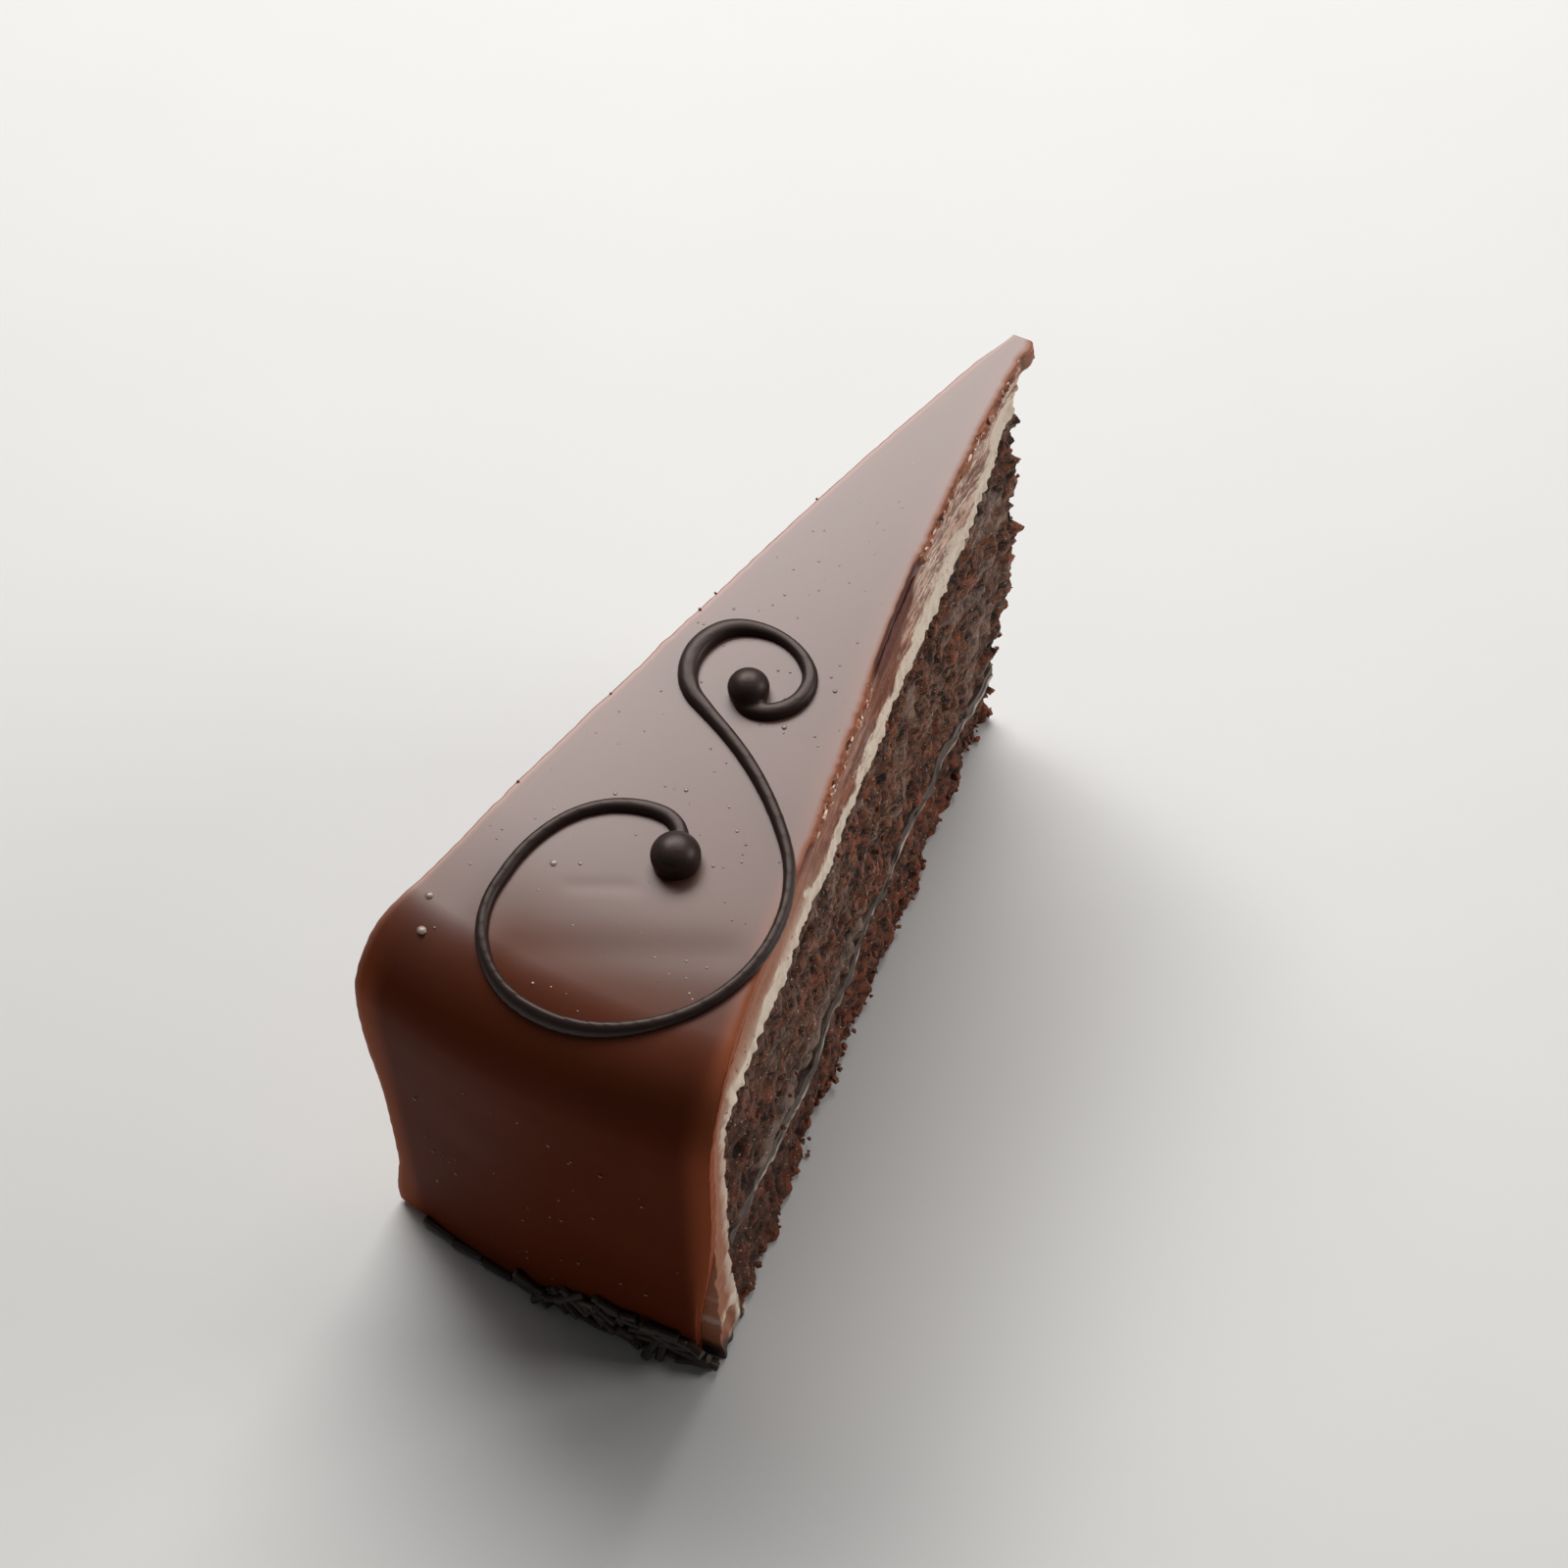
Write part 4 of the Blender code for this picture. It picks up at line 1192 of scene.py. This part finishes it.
def make_sprinkles():
    length = SPRINKLE_LENGTHS[1]
    deselect()
    bpy.ops.mesh.primitive_cylinder_add(vertices=12, radius=SPRINKLE_RADIUS, depth=length)
    rod = take_new("rod")
    bisect(Vector((0, 0, 1)), [mix(-0.5, 0.5, step / 6) * length for step in range(1, 6)])
    apply_modifier(rod, "BEVEL", width=0.3 * MM, segments=3, limit_method="ANGLE")
    draw = random.Random(9)
    places = []
    for start, end in sprinkle_rods():
        run = end - start
        turn = run.to_track_quat("Z", "Y").to_matrix().to_4x4()
        stretch = Matrix.Diagonal((1, 1, run.length / length, 1))
        places.append((Matrix.Translation((start + end) / 2) @ turn @ stretch, draw.random()))
    return scatter("sprinkles", rod, places, 0.10 * MM, 1.6 * MM)


def sprinkle_finish(settings):
    f = Finish("sprinkle_finish")
    grain = f.noise(0.35 * MM)
    return f.shade(
        Base_Color=f.toned(settings.chocolate, 1.9, f.mark("shade") * grain * 1.6),
        Roughness=0.38 + 0.1 * grain, Normal=f.relief((grain, 0.05 * MM, 0.4)))


# Crumbs, shards and bubbles
def turned_place(point, draw, size, stretch=(1, 1, 1)):
    """A matrix that puts a unit thing at a point, turned at random."""
    axis = Vector((draw.gauss(0, 1), draw.gauss(0, 1), draw.gauss(0, 1))).normalized()
    turn = Quaternion(axis, draw.uniform(0, math.tau)).to_matrix().to_4x4()
    scale = Matrix.Diagonal((*(size * part for part in stretch), 1))
    return Matrix.Translation(point) @ turn @ scale


def make_lump(name):
    """A small rounded lump of a few dozen faces, about 1 across its half."""
    deselect()
    bpy.ops.mesh.primitive_cube_add(size=1.6)
    lump = take_new(name)
    bpy.ops.object.mode_set(mode="EDIT")
    bpy.ops.mesh.select_all(action="SELECT")
    bpy.ops.mesh.subdivide(number_cuts=1)
    bpy.ops.transform.tosphere(value=0.7)
    bpy.ops.object.mode_set(mode="OBJECT")
    return lump


def face_point(r, z, side, out):
    """A point on the crumb of a cut face."""
    return placed(r, side, z, crumb_relief(r, z, side) + out)


EDGE_CRUMBS = (                      # radius in mm, side, half size in mm
    (57, -1.0, 0.15), (60, -0.99, 0.18), (76, -1.0, 0.15), (92, -1.0, 0.2), (38, -1.0, 0.14),
)


def crumb_places(count):
    """Crumbs along the base edges, up the tip and scattered over both cut faces."""
    draw = random.Random(23)
    places = []
    for index in range(count):
        kind = draw.random()
        side = 1 if draw.random() < 0.6 else -1
        size = draw.uniform(0.18, 0.48) * MM * (1.4 if draw.random() < 0.12 else 1)
        if kind < 0.45:
            r = draw.uniform(4, 112) * MM
            z = size + abs(draw.gauss(0, 1.3)) * MM
            point = face_point(max(r, sponge_start(z)), z, side, draw.uniform(-0.1, 0.35) * MM)
        elif kind < 0.70:
            z = draw.uniform(3, 52) * MM
            point = placed(sponge_start(z) + draw.uniform(-0.7, 1.2) * MM, draw.uniform(-1, 1.2), z)
        else:
            r = draw.uniform(6, 110) * MM
            z = draw.uniform(3, 50) * MM
            point = face_point(r, z, side, draw.uniform(0, 0.3) * MM)
            size *= 0.75
        stretch = (1, draw.uniform(0.65, 1), draw.uniform(0.55, 0.9))
        point.z = max(point.z, size * 1.3)
        places.append((turned_place(point, draw, size, stretch), draw.random()))
    for r, side, size in EDGE_CRUMBS:
        x = side * half_width(r * MM)
        z = top_surface(x, -math.sqrt((r * MM) ** 2 - x * x))
        places.append((turned_place(placed(r * MM, side, z), draw, size * MM), draw.random()))
    return places


def make_crumbs(settings):
    return scatter("sponge_crumbs", make_lump("crumb"), crumb_places(settings.crumbs), 0.8, 0.8)


def crumb_finish(settings):
    f = Finish("crumb_finish")
    fine = f.noise(0.4 * MM, detail=4.0, roughness=0.65)
    surface = f.layers(
        settings.crumb,
        (settings.red_crumb, f.ramp(f.mark("shade"), 0.3, 1.0) * 0.7),
        (settings.pore, 0.35),
        (settings.pore, f.ramp(fine, 0.48, 0.3) * 0.5))
    return f.shade(Base_Color=surface, Roughness=0.8, Normal=f.relief((fine, 0.3 * MM, 0.8)))


def make_shards(settings):
    """Shards of glaze along the broken lip, which their finish paints bright as highlights."""
    draw = random.Random(31)
    places = []
    for index in range(settings.shards):
        r = draw.uniform(4, 39) * MM if draw.random() < 0.6 else draw.uniform(61, 82) * MM
        along = (r - TIP_START) / (CAKE_RADIUS - SHOULDER_RADIUS) * TOP_SHARE
        up = draw.uniform(0.25, 0.95)
        r, z = coat_outline(along, GLAZE_ON_TOP * (1 - up), GLAZE_FOOT_Z)
        relief = glaze_relief(r, z, up, 1) * 0.5 + lip_relief(r, z, up, 1, 1.0)
        point = placed(r, 1, z, relief + draw.uniform(-0.05, 0.05) * MM)
        along_cut = Matrix.Rotation(SLICE_ANGLE / 2 - math.pi / 2 + draw.gauss(0, 0.25), 4, "Z")
        tilt = Matrix.Rotation(draw.gauss(0, 0.35), 4, "Y")
        size = draw.uniform(0.12, 0.26) * MM
        scale = Matrix.Diagonal((size * draw.uniform(1.4, 3.2), size * 0.6, size * 0.7, 1))
        places.append((Matrix.Translation(point) @ along_cut @ tilt @ scale, draw.random()))
    return scatter("glaze_shards", make_lump("shard"), places, 0.6, 0.9)


def shard_finish(settings):
    f = Finish("shard_finish")
    # Copper running to the highlight colour: painted highlights on the shards
    surface = f.blend(settings.copper, settings.highlight_fleck, f.ramp(f.mark("shade"), 0.3, 0.9))
    return f.shade(Base_Color=surface, Roughness=0.25 + 0.2 * f.noise(0.4 * MM))


LARGE_BUBBLES = (                    # from the cake's centre and radius, in mm
    (-18.9, -107.5, 0.55), (-17.4, -111.4, 0.6), (-8.2, -97.7, 0.5), (-5.4, -96.4, 0.3),
    (6.1, -69.4, 0.35), (8.9, -62.1, 0.3), (-6.8, -86.5, 0.3), (0.3, -82.3, 0.3),
)


def make_bubbles(settings):
    """Low domes of air bubbles in the poured face."""
    draw = random.Random(37)
    spots = [(x * MM, y * MM, size * MM) for x, y, size in LARGE_BUBBLES]
    for index in range(settings.bubbles):
        angle = draw.uniform(-0.92, 0.92) * SLICE_ANGLE / 2
        r = math.sqrt(draw.uniform(0.02, 0.9)) * CAKE_RADIUS
        spots.append((r * math.sin(angle), -r * math.cos(angle), draw.uniform(0.08, 0.2) * MM))
    places = []
    for x, y, size in spots:
        z = poured_top(x, y)
        flat = Matrix.Diagonal((size, size, size * 0.35, 1))
        places.append((Matrix.Translation((x, CENTRE_Y + y, z)) @ flat, draw.random()))
    for index in range(settings.bubbles // 3):
        angle = draw.uniform(-0.9, 0.9) * SLICE_ANGLE / 2
        z = draw.uniform(6, 46) * MM
        size = draw.uniform(0.1, 0.26) * MM
        spot = Vector((math.sin(angle) * CAKE_RADIUS, CENTRE_Y - math.cos(angle) * CAKE_RADIUS, z))
        flat = Matrix.Rotation(angle, 4, "Z") @ Matrix.Diagonal((size, size * 0.35, size, 1))
        places.append((Matrix.Translation(spot) @ flat, draw.random()))
    deselect()
    bpy.ops.mesh.primitive_uv_sphere_add(segments=8, ring_count=4, radius=1)
    return scatter("glaze_bubbles", take_new("bubble"), places, 0.12, 1.5)


def bubble_finish(settings):
    f = Finish("bubble_finish")
    x, y, z = f.xyz()
    # Paler than the glaze, with a share of the highlight colour: painted highlights on the bubbles
    return f.shade(
        Base_Color=f.blend(settings.bubble, settings.highlight_fleck, f.mark("shade") * 0.22),
        Roughness=0.4 + 0.1 * f.noise(0.3 * MM), Coat_Weight=f.ramp(z, SKIN_FROM_Z, SKIN_FULL_Z),
        Coat_Roughness=settings.roughness, Coat_IOR=SKIN_IOR)


class CAKE_SLICE_OT_glaze(bpy.types.Operator):
    """Model the poured glaze with its broken lip"""
    bl_idname = "cake_slice.glaze"
    bl_label = "Glaze"

    def execute(self, context):
        settings = context.scene.slice_glaze
        settle(make_glaze_coat(settings), glaze_finish(settings), ("glaze",))
        return {"FINISHED"}


class CAKE_SLICE_OT_sprinkles(bpy.types.Operator):
    """Model the sprinkles at the foot of the glaze"""
    bl_idname = "cake_slice.sprinkles"
    bl_label = "Sprinkles"

    def execute(self, context):
        finish = sprinkle_finish(context.scene.slice_sprinkles)
        settle(make_sprinkles(), finish, ("glaze",))
        return {"FINISHED"}


class CAKE_SLICE_OT_cream(bpy.types.Operator):
    """Model the cream under the glaze"""
    bl_idname = "cake_slice.cream"
    bl_label = "Cream"

    def execute(self, context):
        settle(make_cream_coat(), cream_finish(context.scene.slice_cream), ("cream",))
        return {"FINISHED"}


class CAKE_SLICE_OT_sponges(bpy.types.Operator):
    """Model both sponges with their torn crumb"""
    bl_idname = "cake_slice.sponges"
    bl_label = "Sponges"

    def execute(self, context):
        settings = context.scene.slice_sponge
        upper = sponge_finish(
            "upper_sponge_finish", settings, redness=0.55, smear_strength=1.0, darkness=0.0)
        lower = sponge_finish(
            "lower_sponge_finish", settings, redness=1.3, smear_strength=0.15, darkness=0.25)
        settle(make_upper_sponge(settings), upper, ("sponge_top",), 75)
        settle(make_lower_sponge(settings), lower, ("sponge_base",), 75)
        return {"FINISHED"}


class CAKE_SLICE_OT_filling(bpy.types.Operator):
    """Model the thin filling between the sponges"""
    bl_idname = "cake_slice.filling"
    bl_label = "Filling"

    def execute(self, context):
        finish = filling_finish(context.scene.slice_filling)
        settle(make_filling_smear(), finish, ("filling",), 75)
        return {"FINISHED"}


class CAKE_SLICE_OT_scroll(bpy.types.Operator):
    """Model the piped scroll and its pearls"""
    bl_idname = "cake_slice.scroll"
    bl_label = "Scroll"

    def execute(self, context):
        settings = context.scene.slice_scroll
        settle(make_scroll(settings), scroll_finish(settings), ("scroll",), 80)
        return {"FINISHED"}


class CAKE_SLICE_OT_crumbs(bpy.types.Operator):
    """Model the crumbs, the shards of glaze and the air bubbles"""
    bl_idname = "cake_slice.crumbs"
    bl_label = "Crumbs and Bubbles"

    def execute(self, context):
        scene = context.scene
        glaze = scene.slice_glaze
        counts = scene.slice_crumbs
        settle(make_crumbs(counts), crumb_finish(scene.slice_sponge), (), 80)
        settle(make_shards(counts), shard_finish(glaze), (), 60)
        settle(make_bubbles(counts), bubble_finish(glaze), (), 80)
        return {"FINISHED"}


def floor_finish(settings):
    f = Finish("floor_finish")
    return f.shade(
        Base_Color=f.toned(settings.floor, 0.96, f.noise(50 * MM)), Roughness=0.6,
        Normal=f.relief((f.noise(4 * MM), 0.1 * MM, 0.2)))


LIGHTS = (                           # azimuth from +X towards +Y and elevation, in degrees,
    ("key", 126, 51, 0.90, 0.35),    # then width and height in metres
    ("side", 32, 28, 0.35, 0.30),
    ("top", 75, 66, 0.34, 0.28),
    ("left", 160, 58, 0.34, 0.28),
)
LIGHT_TINT = (1.0, 0.985, 0.97)
LIGHT_AIM = Vector((0, 0, 30 * MM))
FLOOR_SIZE = 6
FLOOR_Z = -0.05 * MM


def from_above(azimuth, elevation):
    """A place one metre from the middle of the floor."""
    turn, rise = math.radians(azimuth), math.radians(elevation)
    return Vector((
        math.cos(turn) * math.cos(rise), math.sin(turn) * math.cos(rise), math.sin(rise)))


def add_softbox(name, azimuth, elevation, width, height, power):
    """A rectangular light a metre away that points at the slice."""
    place = from_above(azimuth, elevation)
    light = bpy.data.lights.new(name, "AREA")
    light.shape = "RECTANGLE"
    light.size = width
    light.size_y = height
    light.energy = power
    light.color = LIGHT_TINT
    lamp = bpy.data.objects.new(name, light)
    lamp.location = place
    lamp.rotation_mode = "QUATERNION"
    aim = LIGHT_AIM - place
    lamp.rotation_quaternion = aim.to_track_quat("-Z", "Y")
    bpy.context.scene.collection.objects.link(lamp)


def add_camera():
    """The camera at the photograph's angle."""
    back = Vector((
        math.sin(CAMERA_AZIMUTH) * math.cos(CAMERA_ELEVATION),
        -math.cos(CAMERA_AZIMUTH) * math.cos(CAMERA_ELEVATION),
        math.sin(CAMERA_ELEVATION)))
    right = (-back).cross(Vector((0, 0, 1))).normalized()
    up = right.cross(-back)
    right, up = (right * math.cos(CAMERA_ROLL) + up * math.sin(CAMERA_ROLL),
                 up * math.cos(CAMERA_ROLL) - right * math.sin(CAMERA_ROLL))
    camera = bpy.data.cameras.new("camera")
    camera.lens = CAMERA_LENS
    camera.sensor_width = CAMERA_SENSOR
    camera.clip_start = 0.01
    holder = bpy.data.objects.new("camera", camera)
    axes = Matrix((right, up, back)).transposed().to_4x4()
    holder.matrix_world = Matrix.Translation(CAMERA_TARGET + back * CAMERA_DISTANCE) @ axes
    bpy.context.scene.collection.objects.link(holder)
    bpy.context.scene.camera = holder


class CAKE_SLICE_OT_stage(bpy.types.Operator):
    """Set up the pale floor, the soft lights and the camera"""
    bl_idname = "cake_slice.stage"
    bl_label = "Stage"

    def execute(self, context):
        settings = context.scene.slice_stage
        deselect()
        bpy.ops.mesh.primitive_plane_add(size=FLOOR_SIZE, location=(0, 0, FLOOR_Z))
        floor = take_new("floor")
        floor.data.materials.append(floor_finish(settings))
        for name, azimuth, elevation, width, height in LIGHTS:
            power = getattr(settings, name)
            add_softbox(name + "_light", azimuth, elevation, width, height, power)
        world = bpy.data.worlds.new("studio")
        world.use_nodes = True
        backdrop = world.node_tree.nodes["Background"]
        backdrop.inputs["Color"].default_value = (1.0, 1.0, 1.0, 1)
        backdrop.inputs["Strength"].default_value = settings.sky
        context.scene.world = world
        context.scene.view_settings.view_transform = "Standard"
        add_camera()
        return {"FINISHED"}


class CAKE_SLICE_PT_panel(bpy.types.Panel):
    """Lists the steps that build the slice"""
    bl_label = "Cake Slice"
    bl_idname = "CAKE_SLICE_PT_panel"
    bl_space_type = "VIEW_3D"
    bl_region_type = "UI"
    bl_category = "Cake Slice"

    def draw(self, context):
        for step in STEPS:
            self.layout.operator(step.bl_idname)


SETTINGS = {
    "slice_glaze": GlazeSettings,
    "slice_cream": CreamSettings,
    "slice_sponge": SpongeSettings,
    "slice_filling": FillingSettings,
    "slice_scroll": ScrollSettings,
    "slice_sprinkles": SprinkleSettings,
    "slice_crumbs": CrumbSettings,
    "slice_stage": StageSettings,
}
STEPS = (
    CAKE_SLICE_OT_stage, CAKE_SLICE_OT_glaze, CAKE_SLICE_OT_cream, CAKE_SLICE_OT_sponges,
    CAKE_SLICE_OT_filling, CAKE_SLICE_OT_scroll, CAKE_SLICE_OT_sprinkles, CAKE_SLICE_OT_crumbs,
)


def register():
    for group in SETTINGS.values():
        bpy.utils.register_class(group)
    for name, group in SETTINGS.items():
        setattr(bpy.types.Scene, name, PointerProperty(type=group))
    for step in STEPS:
        bpy.utils.register_class(step)
    bpy.utils.register_class(CAKE_SLICE_PT_panel)


def unregister():
    bpy.utils.unregister_class(CAKE_SLICE_PT_panel)
    for step in reversed(STEPS):
        bpy.utils.unregister_class(step)
    for name, group in SETTINGS.items():
        delattr(bpy.types.Scene, name)
        bpy.utils.unregister_class(group)


def main():
    register()
    bpy.ops.cake_slice.stage()
    bpy.ops.cake_slice.glaze()
    bpy.ops.cake_slice.cream()
    bpy.ops.cake_slice.sponges()
    bpy.ops.cake_slice.filling()
    bpy.ops.cake_slice.scroll()
    bpy.ops.cake_slice.sprinkles()
    bpy.ops.cake_slice.crumbs()


if __name__ == "__main__":
    main()
